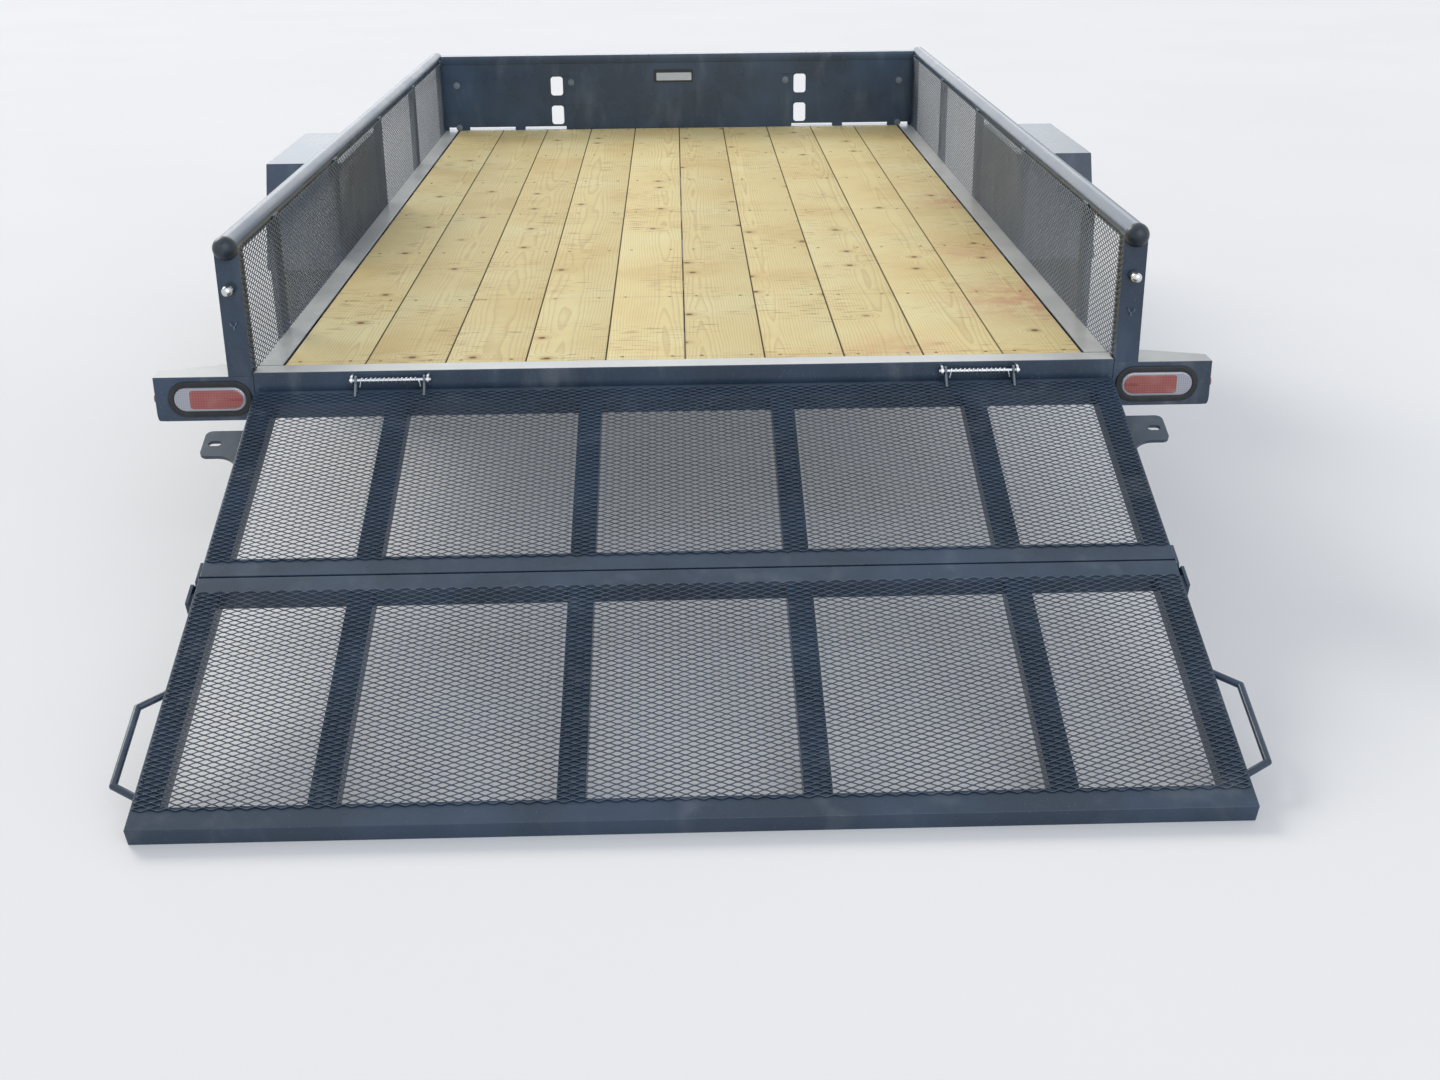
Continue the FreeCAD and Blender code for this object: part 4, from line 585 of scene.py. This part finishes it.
def expanded(corner, along, across, out, length, height):
    """Expanded metal sheet with diamonds 30 mm long and 13 mm high.

    A strand swings between two lines half a diamond apart, once in every diamond's length, on a wave with
    flat tops (the bonds). The next strand swings half a length later, so their bonds touch. A point is
    corner + u*along + v*across + n*out, where v and n follow the wave; the strand's flat section leans by
    25 degrees, so that the bonds lie like the blades of a louvre.
    """
    diamond_long, diamond_high = 30.5 * mm, 13 * mm
    strand, thick, bond, lean = 2.3 * mm, 1.6 * mm, 4.6 * mm, math.radians(25)
    rows, swings = round(height / (diamond_high / 2)), round(length / diamond_long)
    swing, row_high = length / swings, height / rows
    marks = np.array([bond / 2, swing / 2 - bond / 2, swing / 2 + bond / 2, swing - bond / 2])
    u = np.concatenate([[0.0], (np.arange(swings)[:, None] * swing + marks).ravel(), [length]])
    wave = np.concatenate([[1.0], np.tile([1.0, -1.0, -1.0, 1.0], swings), [1.0]])
    turn = np.where(np.arange(rows) % 2 == 0, 1.0, -1.0)[:, None] * wave
    reach = row_high / 2 - strand * math.cos(lean) / 2
    v = (np.arange(rows)[:, None] + 0.5) * row_high + turn * reach
    n = -turn * strand / 2 * math.sin(lean)
    flat = np.array([(-1, -1), (1, -1), (1, 1), (-1, 1)]) * (strand / 2, thick / 2)
    tilt = np.array([(math.cos(lean), math.sin(lean)), (-math.sin(lean), math.cos(lean))])
    section = flat @ tilt
    along, across, out = (np.asarray(way, float) for way in (along, across, out))
    points = (np.asarray(corner, float) + u[None, :, None, None] * along
              + (v[:, :, None, None] + section[None, None, :, :1]) * across
              + (n[:, :, None, None] + section[None, None, :, 1:]) * out)
    first = skin(points[0])
    stride = points.shape[1] * 4
    starts = np.arange(rows) * stride
    quads = (first[1][None] + starts[:, None, None]).reshape(-1, 4)
    caps = [cap + start for start in starts for cap in first[2]]
    return points.reshape(-1, 3), quads, caps


def on_gate(x, s, n):
    """Point of the ramp in the frame: s runs down the slope from its near edge, n rises square to it."""
    y = gate_start[0] - s * math.cos(gate_slope) - n * math.sin(gate_slope)
    z = gate_start[1] - s * math.sin(gate_slope) + n * math.cos(gate_slope)
    return np.stack(np.broadcast_arrays(x, y, z), -1).astype(float)


down = on_gate(0.0, 1.0, 0.0) - on_gate(0.0, 0.0, 0.0)
up_from_gate = on_gate(0.0, 0.0, 1.0) - on_gate(0.0, 0.0, 0.0)

# The side sheets run back over the uprights' inner faces, which they are welded to.
side_sheet, side_start = 0.9805, bed_rear + 16 * mm
for way, label in ((-1, "left"), (1, "right")):
    low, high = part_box(f"side_mesh_{label}")
    sheet = expanded((way * side_sheet, side_start, low.z), (0, 1, 0), (0, 0, 1), (way, 0, 0),
                     high.y - side_start, high.z - low.z)
    piece(f"expanded_side_{label}", [sheet], painted_sunlit_mesh_coat, "chassis", [f"side_mesh_{label}"], sharp=0)

# Half the ramp's width between its frames, how high its sheets lie, and where each starts and ends down it.
gate_half, gate_sheet = 0.974, 1.8 * mm
for label, start, end in (("upper", 10 * mm, 583 * mm), ("lower", 670 * mm, 1230 * mm)):
    sheet = expanded(on_gate(-gate_half, start, gate_sheet), (1, 0, 0), down, up_from_gate,
                     2 * gate_half, end - start)
    piece(f"expanded_{label}_gate", [sheet], coat, f"{label}_gate", [f"{label}_gate_mesh"], sharp=0)


# ---------------------------------------------------------------- deck


def planks():
    """Ten boards, each a rounded section carried from end to end and a little unlike its neighbours.

    A point's height also falls by the droop times the square of its distance from the middle of the board
    over half its width.
    """
    low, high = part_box("deck_planks")
    chance = np.random.default_rng(11)
    count, stations, gap, droop = 10, 25, 1.6 * mm, 0.5 * mm
    # Every board takes its own stretch of the grain, this many metres on from the last one's.
    stretch = 9.7
    pitch = (high.x - low.x + gap) / count
    parts, grain = [], []
    for k in range(count):
        middle = low.x - gap / 2 + (k + 0.5) * pitch
        wide = pitch - chance.uniform(0.8, 1.6) * mm
        sink = chance.uniform(0.0, 0.7) * mm
        section = rounded(wide, high.z - low.z - 1 * mm, 3.2 * mm, 5)
        y = np.linspace(low.y + chance.uniform(0, 1.5) * mm, high.y - chance.uniform(0, 1.5) * mm, stations)
        bow = chance.uniform(-0.25, 0.25) * mm * np.sin((y - low.y) / (high.y - low.y) * math.pi)
        across, up = (np.broadcast_to(section[None, :, way], (stations, len(section))) for way in (0, 1))
        height = (low.z + high.z) / 2 - sink * 0.5 + up - droop * (across / (wide / 2)) ** 2
        points = np.stack([middle + bow[:, None] + across,
                           np.broadcast_to(y[:, None], across.shape), height], -1)
        parts.append(skin(points))
        pith, depth = chance.uniform(-55, 55) * mm, chance.uniform(12, 70) * mm
        flat = points.reshape(-1, 3)
        grain.append(np.stack([flat[:, 0] - middle - pith, flat[:, 1] + stretch * (k + 1),
                               depth + high.z - flat[:, 2]], -1))
    return parts, np.concatenate(grain)


boards, board_grain = planks()
piece("pine_planks", boards, pine, "chassis", ["deck_planks"], attribute=("grain", board_grain))


# ---------------------------------------------------------------- fastenings


def hex_bolt(centre, axis, across_flats):
    """Hexagon head with a chamfered top on a round washer; the head is 0.45 of its width tall."""
    corner, tall, washer = across_flats / math.sqrt(3), across_flats * 0.45, 1.6 * mm
    ring = across_flats * 1.02
    head = [(corner, washer), (corner, washer + tall - 0.8 * mm), (corner * 0.87, washer + tall)]
    return [turned([(ring, 0), (ring, washer * 0.8), (ring - 0.4 * mm, washer)], centre, axis, 24),
            turned(head, centre, axis, 6, 0.3)]


# Three bolts a side hold the front wall, at these places across and up.
bolt_places = ((0.925, 0.673), (0.924, 0.500), (0.448, 0.680))
wall_bolts = [shell for x, z in bolt_places for shell in hex_bolt((x, wall_face, z), (0, -1, 0), 13 * mm)]
piece("front_wall_bolts", mirrored(wall_bolts), rubbed_coat, "chassis", sharp=30)

# Two screws hold every board in each row, each up to 4 mm off its line, as they are driven by hand.
screw_rows = (-1.767, -1.195, -0.625, -0.055, 0.515, 1.085, 1.715)
board_pitch, screw_aside, off_line, screw_foot = 0.1846, 58 * mm, 4 * mm, deck_top - 0.8 * mm
screw_head = [(4.6 * mm, 0), (4.6 * mm, 0.5 * mm), (4.0 * mm, 0.75 * mm), (1.7 * mm, 0.7 * mm),
              (1.2 * mm, 0.1 * mm)]
deck_screws = []
for along in screw_rows:
    for k in range(10):
        for aside in (-screw_aside, screw_aside):
            x = (k - 4.5) * board_pitch + aside + off_line * math.sin(7 * k + 40 * along)
            y = along + off_line * math.cos(5 * k)
            deck_screws.append(turned(screw_head, (x, y, screw_foot), (0, 0, 1), 12))
piece("deck_screws", deck_screws, tan_zinc, "chassis", sharp=30)


def on_front_wall(x, z, near, far, outline):
    """An outline about (x, z), carried from near to far millimetres behind the front wall's inner face."""
    return carried([(x, wall_face - near * mm, z), (x, wall_face - far * mm, z)], outline)


# The wall's folded top lip stands a little proud, and a middle sheet laps over the joints of the outer two.
lip_half, lip_height = 0.984, 0.773
lip = carried([(-lip_half, wall_face - 0.6 * mm, lip_height), (lip_half, wall_face - 0.6 * mm, lip_height)],
              rounded(3.6 * mm, 32 * mm, 1.6 * mm))
lap = on_front_wall(0.0015, 0.6235, -0.2, 1.5, rounded(863 * mm, 265 * mm, 1.2 * mm))
piece("front_wall_sheets", [lip, lap], coat, "chassis", sharp=30)

# Blank plate in a dark holder at the middle of the front wall.
holder = on_front_wall(-0.020, 0.703, 1.2, 4.6, rounded(164 * mm, 52 * mm, 6 * mm))
piece("plate_holder", [holder], black_paint, "chassis", sharp=30)
blank = on_front_wall(-0.018, 0.700, 4.4, 6.0, rounded(146 * mm, 31 * mm, 3 * mm))
piece("blank_plate", [blank], aluminium, "chassis", sharp=30)


# ---------------------------------------------------------------- lamps


lens_long, lens_tall, grommet_rim = 165 * mm, 57 * mm, 13 * mm


def dome(outline_at, steps, rise, front, side, height, outboard):
    """Crowned lens: an outline drawn in ring by ring, each lying further up a quarter ellipse of the rise."""
    t = np.linspace(0, math.pi / 2, steps)
    rings = [outline_at(1 - math.cos(a)) for a in t]
    depth = front + rise - rise * np.sin(t)
    points = np.stack([np.stack([side + outboard * ring[:, 0], np.full(len(ring), y),
                                 height + ring[:, 1]], -1) for ring, y in zip(rings, depth)])
    back = points[:1] + np.array([0, 9 * mm, 0])
    return skin(np.concatenate([back, points]))


def lamp_parts(outboard):
    """Clear lens, red middle and grommet of one tail lamp; the red ends 36 mm from the outboard end."""
    side = outboard * lens_side
    clear = dome(lambda k: capsule(lens_long, lens_tall, 5 * mm * k), 7, 4.5 * mm, bed_rear - 5.6 * mm,
                 side, lens_height, outboard)

    def red_outline(k):
        """Inboard end round, outboard end nearly square with small corners, drawn in by the share k."""
        round_middle, square_end, small, draw = -54 * mm, 46.5 * mm, 8 * mm, 3 * mm * k
        radius = 23.0 * mm - draw
        t = np.linspace(math.pi / 2, 3 * math.pi / 2, 16)
        round_end = np.stack([radius * np.cos(t) + round_middle, radius * np.sin(t)], -1)
        q = np.linspace(-math.pi / 2, math.pi / 2, 16)
        square = np.stack([square_end - draw - small + small * np.cos(q),
                           np.sign(q) * (radius - small) + small * np.sin(q)], -1)
        return np.concatenate([round_end, square])

    red = dome(red_outline, 6, 3.4 * mm, bed_rear - 6.6 * mm, side, lens_height, outboard)
    path = capsule(lens_long + grommet_rim, lens_tall + grommet_rim, 0, 24)
    loop = np.stack([side + path[:, 0], np.full(len(path), bed_rear - 2.3 * mm),
                     lens_height + path[:, 1]], -1)
    lip = rounded(13.4 * mm, 4.8 * mm, 2.2 * mm, 5)
    return clear, red, carried(loop, lip, (0, 1, 0), looped=True)


lamp_sets = [lamp_parts(way) for way in (-1, 1)]
piece("tail_lamp_clear", [lamps[0] for lamps in lamp_sets], clear_lens, "chassis", ["tail_lamps"])
piece("tail_lamp_red", [lamps[1] for lamps in lamp_sets], red_lens, "chassis")
piece("lamp_grommet_rings", [lamps[2] for lamps in lamp_sets], grommet_rubber, "chassis",
      ["lamp_grommets"])

marker_dome = [(11 * mm, -0.5 * mm), (11 * mm, 3.0 * mm), (10.2 * mm, 4.4 * mm), (7.5 * mm, 5.3 * mm),
               (3.8 * mm, 5.85 * mm), (0.9 * mm, 5.95 * mm)]
marker_place = (1.210, bed_rear + 18 * mm, 0.428)
piece("side_marker_lenses", mirrored([turned(marker_dome, marker_place, (1, 0, 0), 28)]), red_lens, "chassis",
      ["side_markers"])


# ---------------------------------------------------------------- hinges and latches


def hinge_spring(middle):
    """Spring on the hinge rod: x runs evenly while (y, z) goes round the axis thirteen times.

    Both ends then hang down as short legs that splay away from each other.
    """
    turns, radius, length, wire = 13, 5.0 * mm, 131 * mm, 1.8 * mm
    t = np.linspace(0, turns * 2 * math.pi, turns * 14 + 1)
    x = middle + (t / t[-1] - 0.5) * length
    coil = np.stack([x, hinge_back - radius * np.cos(t), hinge_height + radius * np.sin(t)], -1)
    k = np.linspace(1, 0.12, 6)[:, None]
    fall = np.array([[-3 * mm, -0.5 * mm, -14 * mm]])
    first = coil[:1] + fall * k
    last = coil[-1:] + fall * (-1, 1, 1) * k[::-1]
    return carried(np.concatenate([first, coil, last]), circle(wire, 8), (1, 0.02, 0.03))


piece("hinge_springs", [hinge_spring(way * hinge_side) for way in (-1, 1)], zinc, "chassis",
      ["hinge_coils"], sharp=60)


def latch_parts():
    """Plunger latch on the right upright: collar, hexagon, neck, ball knob, and a wire catch below them."""
    spot, back = (rail_side, bed_rear, 0.684), (0, -1, 0)
    ball_radius, ball_out = 12.4 * mm, 26 * mm
    t = np.linspace(-0.94, 1.35, 12)
    ball = np.stack([ball_radius * np.cos(t), ball_out + ball_radius * np.sin(t)], -1)
    knob = turned(np.concatenate([[(6.2 * mm, 13 * mm)], ball]), spot, back, 32)
    collar = turned([(12.8 * mm, 0), (12.8 * mm, 3.6 * mm), (11.4 * mm, 5 * mm)], spot, back, 32)
    nut = turned([(9.8 * mm, 4 * mm), (9.8 * mm, 11 * mm), (8.8 * mm, 12 * mm)], spot, back, 6)
    neck = turned([(6.0 * mm, 10 * mm), (6.0 * mm, 17 * mm)], spot, back, 20)
    # Corners of the catch's wire: millimetres aside, millimetres behind its foot, height.
    wire_foot = bed_rear - 2.0 * mm
    wire = ((7, 3, 0.6075), (6, 8, 0.604), (0.9, 2, 0.598), (0.9, 0, 0.5905))
    arms = []
    for way in (-1, 1):
        corners = [(rail_side + way * aside * mm, wire_foot - behind * mm, z) for aside, behind, z in wire]
        arms.append(carried(smoothed(corners, 2 * mm), circle(1.3 * mm, 8), (1, 0, 0.1)))
    return [knob, nut, neck], [collar], arms


turned_parts, collars, arms = latch_parts()
piece("latch_knobs", mirrored(turned_parts), chrome, "chassis", ["gate_latches"])
piece("latch_collars", mirrored(collars), cap_plastic, "chassis")
piece("latch_catches", mirrored(arms), rubbed_coat, "chassis", sharp=60)


def rail_cap():
    """Push-on cap over a rail's end: a short sleeve that runs into a dome on an ellipse."""
    low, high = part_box("rail_caps")
    t = np.linspace(0, 1.50, 14)
    radius = (high.z - low.z) / 2
    deep = high.y - low.y
    edge = [(radius - 1.2 * mm, 0.0), (radius - 0.3 * mm, 0.4 * mm), (radius, 1.2 * mm)]
    crown = np.stack([radius * np.cos(t), 2 * mm + (deep - 2 * mm) * np.sin(t)], -1)
    return [turned(np.concatenate([edge, crown]), (rail_side, high.y, (low.z + high.z) / 2), (0, -1, 0), 48)]


piece("rail_end_caps", mirrored(rail_cap()), cap_plastic, "chassis", ["rail_caps"])


# ---------------------------------------------------------------- wheels


def tyre(side):
    """Trailer tyre: a section from bead to bead turned about the axle.

    The tread's radius drops into four grooves whose walls sway sideways with a triangle wave of the turn, and
    the outer ribs drop again in short cross cuts. The sidewall carries two raised rings.
    """
    pitches = 74
    # Half the tread in millimetres: place across, radius, how far it sways, how deep a cross cut goes there.
    tread = [(4, 331.5, 0, 0), (13, 331.3, 1, 0), (14.2, 324.2, 1, 0), (19.8, 324.2, 1, 0),
             (21, 331.0, 1, 0), (31, 330.5, 0.3, 0), (42, 329.8, 1, 0), (43.2, 323.0, 1, 0),
             (48.8, 323.0, 1, 0), (50, 329.2, 1, 0), (58, 327.8, 0, 3.6), (68, 325.4, 0, 4.4),
             (75, 322.6, 0, 5.0), (81, 317.0, 0, 4.2), (85, 311.0, 0, 0.6)]
    # One sidewall in millimetres, from the shoulder to the bead: place across, radius.
    wall = [(88.5, 303.0), (90.2, 302.0), (93.5, 290.0), (96.2, 276.0), (97.9, 262.0), (98.9, 259.0),
            (99.0, 249.0), (98.0, 246.0), (97.2, 233.0), (95.0, 220.0), (93.6, 214.0), (93.4, 208.0),
            (91.0, 206.0), (86.0, 193.0), (80.5, 186.0), (77.6, 180.0), (76.5, 178.2)]
    half = np.concatenate([tread, np.pad(wall, ((0, 0), (0, 2)))])
    columns = np.concatenate([half[::-1] * (-1, 1, 1, 1), half])
    # Of each pitch, the stretch from 0.36 to 0.56 is the cross cut, and the rest stands up.
    share = (np.arange(pitches)[:, None] + np.array([0.0, 0.30, 0.36, 0.56, 0.62])).ravel()
    depth = np.tile([0.0, 0.0, 1.0, 1.0, 0.0], pitches)
    sway = 2.0 * mm * (2 * np.abs(2 * (share / 2 % 1.0) - 1) - 1)
    angle = share / pitches * 2 * math.pi
    x = columns[None, :, 0] * mm + columns[None, :, 2] * sway[:, None]
    radius = (columns[None, :, 1] - columns[None, :, 3] * depth[:, None]) * mm
    points = np.stack([side * wheel_side + x, wheel_back + radius * np.cos(angle)[:, None],
                       tyre_round + radius * np.sin(angle)[:, None]], -1)
    return skin(points, looped=True)


def lug_nuts(side):
    """Five wheel nuts with the ends of their studs, evenly round a circle of 114.3 mm about the axle."""
    bolt_circle, count, seat = 114.3 * mm, 5, side * (wheel_side + 20 * mm)
    nut = [(9.6 * mm, -2 * mm), (11.2 * mm, 1 * mm), (11.2 * mm, 13 * mm), (9.8 * mm, 14.5 * mm)]
    stud = [(5.8 * mm, 13 * mm), (5.8 * mm, 19 * mm), (5.0 * mm, 20 * mm)]
    parts = []
    for k in range(count):
        t = k * 2 * math.pi / count + 0.3
        spot = (seat, wheel_back + bolt_circle / 2 * math.sin(t), tyre_round + bolt_circle / 2 * math.cos(t))
        parts += [turned(nut, spot, (side, 0, 0), 6, 0.2 * k), turned(stud, spot, (side, 0, 0), 14)]
    return parts


def valve(side):
    """Rubber valve stem with its cap, in the rim's outer slope."""
    spot = (side * (wheel_side + 46 * mm), wheel_back + 0.1 * mm, tyre_round + 146 * mm)
    stem = [(5.2 * mm, 0), (4.6 * mm, 4 * mm), (3.4 * mm, 6 * mm), (3.4 * mm, 16 * mm),
            (4.1 * mm, 16.5 * mm), (4.1 * mm, 25 * mm), (3.2 * mm, 26 * mm)]
    return [turned(stem, spot, (side, 0, 0), 16)]


for side, label in ((-1, "left"), (1, "right")):
    wheel = f"wheel_{label}"
    piece(f"tyre_tread_{label}", [tyre(side)], rubber_tread, wheel, [f"tyre_{label}"], sharp=34)
    piece(f"lug_nuts_{label}", lug_nuts(side), chrome, wheel, sharp=30)
    piece(f"valve_stem_{label}", valve(side), cap_plastic, wheel, sharp=30)
    eased(f"rim_{label}", 0.8 * mm)
    eased(f"hub_{label}", 1.0 * mm)


# ---------------------------------------------------------------- frame pieces with their edges broken

# Width of each node's broken edges in millimetres.
edge_width = {
    "front_crossmember": 2.4, "inner_crossmembers": 1.6, "upright_left": 3.0, "upright_right": 3.0,
    "wall_posts": 1.6, "front_wall": 0.9, "front_wall_posts": 1.4,
    "upper_gate_frame": 1.5, "lower_gate_frame": 1.5,
    "upper_fold_ears": 1.0, "lower_fold_ears": 1.0, "fender_left": 1.2, "fender_right": 1.2,
    "tongue_rails": 2.0, "coupler": 1.4, "coupler_lever": 1.2, "spring_hangers": 1.0, "leaf_springs": 0.9,
    "spring_clamps": 0.8, "hinge_brackets": 0.8, "jack_foot": 1.0, "jack_tube": 1.0, "jack_leg": 0.8,
    "jack_crank": 0.8, "axle": 1.0, "gate_handles": 0.8, "top_rail_left": 0.8, "top_rail_right": 0.8,
}
for node, width in edge_width.items():
    eased(node, width * mm)
# The beams beside the deck and the lamp boxes take a paler coat whose level tops turn nearly white: partly
# road dust, partly a painted sheen for light glaring off them.
eased("side_rails", 2.4 * mm, dust_and_sheen_coat)
eased("rear_crossmember", 2.4 * mm, dust_and_sheen_coat)
eased("latch_tabs", 1.4 * mm, half_sunlit_coat)
eased("gate_lugs", 1.0 * mm, rubbed_coat)
# The lower outer edge of each lamp box is bent round: the one outside this place and below this height.
box_outside, box_underside = 1.209, 0.378
eased("lamp_boxes", 1.8 * mm, dust_and_sheen_coat,
      rolled=(20 * mm, lambda at: abs(at.x) > box_outside and at.z < box_underside))


# ---------------------------------------------------------------- camera, lights and floor


def look(yaw, pitch, roll):
    """Camera turn: it looks level along +Y turned to the right by yaw, tipped down by pitch, then rolled."""
    forward = Vector((math.sin(yaw) * math.cos(pitch), math.cos(yaw) * math.cos(pitch), -math.sin(pitch)))
    right = Vector((math.cos(yaw), -math.sin(yaw), 0))
    up = right.cross(forward)
    side = right * math.cos(roll) + up * math.sin(roll)
    top = up * math.cos(roll) - right * math.sin(roll)
    return Matrix((side, top, -forward)).transposed().to_4x4()


# Fitted to the photograph: focal length in pixels of its width, place, and the three turns in degrees.
photo_wide, focal_pixels = 1440, 1715.0
camera_place, camera_turn = (-0.0107, -5.62887, 1.5839), (1.29, 21.98, -0.57)
lens = bpy.data.cameras.new("camera")
lens.sensor_fit = "HORIZONTAL"
lens.sensor_width = 36.0
lens.lens = focal_pixels / photo_wide * lens.sensor_width
lens.clip_end = 200
camera = bpy.data.objects.new("camera", lens)
bpy.context.scene.collection.objects.link(camera)
camera.matrix_world = Matrix.Translation(camera_place) @ look(*map(math.radians, camera_turn))
bpy.context.scene.camera = camera


def soft_sun(name, azimuth, height, power, spread, tint):
    """Wide, even light from one way round the object: azimuth 0 shines from the front, 90 from the right."""
    lamp = bpy.data.lights.new(name, "SUN")
    lamp.energy = power
    lamp.angle = math.radians(spread)
    lamp.color = linear(tint)[:3]
    made = bpy.data.objects.new(name, lamp)
    bpy.context.scene.collection.objects.link(made)
    turn, lift = math.radians(azimuth), math.radians(height)
    towards = Vector((math.sin(turn) * math.cos(lift), math.cos(turn) * math.cos(lift), math.sin(lift)))
    made.matrix_world = towards.to_track_quat("Z", "Y").to_matrix().to_4x4()


soft_sun("key", -42, 32, 1.45, 26, "#fff8ec")
soft_sun("fill", 160, 30, 1.15, 60, "#eaf2ff")
soft_sun("low front light", -8, 20, 0.45, 44, "#f6f9ff")

world = bpy.data.worlds.new("studio")
bpy.context.scene.world = world
world.use_nodes = True
tree = world.node_tree
tree.nodes.clear()
rays = add(tree, "LightPath").outputs
seen = add(tree, "Math", {0: rays["Is Camera Ray"], 1: rays["Is Glossy Ray"]}, operation="MAXIMUM")
seen = add(tree, "Math", {0: seen.outputs[0], 1: rays["Is Transmission Ray"]}, operation="MAXIMUM")
lit_by_sky, seen_sky = 0.45, 0.95
level = add(tree, "MapRange", {"Value": seen.outputs[0]}, To_Min=lit_by_sky, To_Max=seen_sky)
sky = add(tree, "Background", {"Strength": level.outputs["Result"]}, Color=linear("#f4f7fb"))
add(tree, "OutputWorld", {"Surface": sky.outputs["Background"]})


def floor_finish():
    """Matt studio floor: pale grey, mottled so slightly that only its evenness is broken.

    What the camera and the glossy parts see of it glows a little, so that it stays pale round its shadow.
    """
    glow_share = 0.22
    made, tree, shader, place = finish_of("pale_floor_paint")
    mottle = add(tree, "TexNoise", {"Vector": place}, Scale=per(1600), Detail=2.0)
    tone = ramp(tree, mottle.outputs["Fac"], (0.3, "#e1e2e4"), (0.7, "#e3e4e6"))
    rays = add(tree, "LightPath").outputs
    glow = add(tree, "Math", {0: rays["Is Camera Ray"], 1: rays["Is Glossy Ray"]}, operation="MAXIMUM")
    glow = add(tree, "Math", {0: glow.outputs[0]}, operation="MULTIPLY")
    glow.inputs[1].default_value = glow_share
    fill(tree, shader, Base_Color=tone, Roughness=0.85, Specular_IOR_Level=0.2,
         Emission_Color=tone, Emission_Strength=glow.outputs[0])
    return made


floor_half = 60
floor_corners = [(x * floor_half, y * floor_half, 0) for x, y in ((-1, -1), (1, -1), (1, 1), (-1, 1))]
floor_mesh = bpy.data.meshes.new("floor")
floor_mesh.from_pydata(floor_corners, [], [(0, 1, 2, 3)])
floor_mesh.materials.append(floor_finish())
floor = bpy.data.objects.new("floor", floor_mesh)
bpy.context.scene.collection.objects.link(floor)

bpy.context.scene.view_settings.view_transform = "Standard"

# Nodes that nothing stands for keep their shape and take the finish of their slot.
for node, solid in frame["nodes"].items():
    solid.data.materials.clear()
    solid.data.materials.append(slot_finish[node_slot[node]])
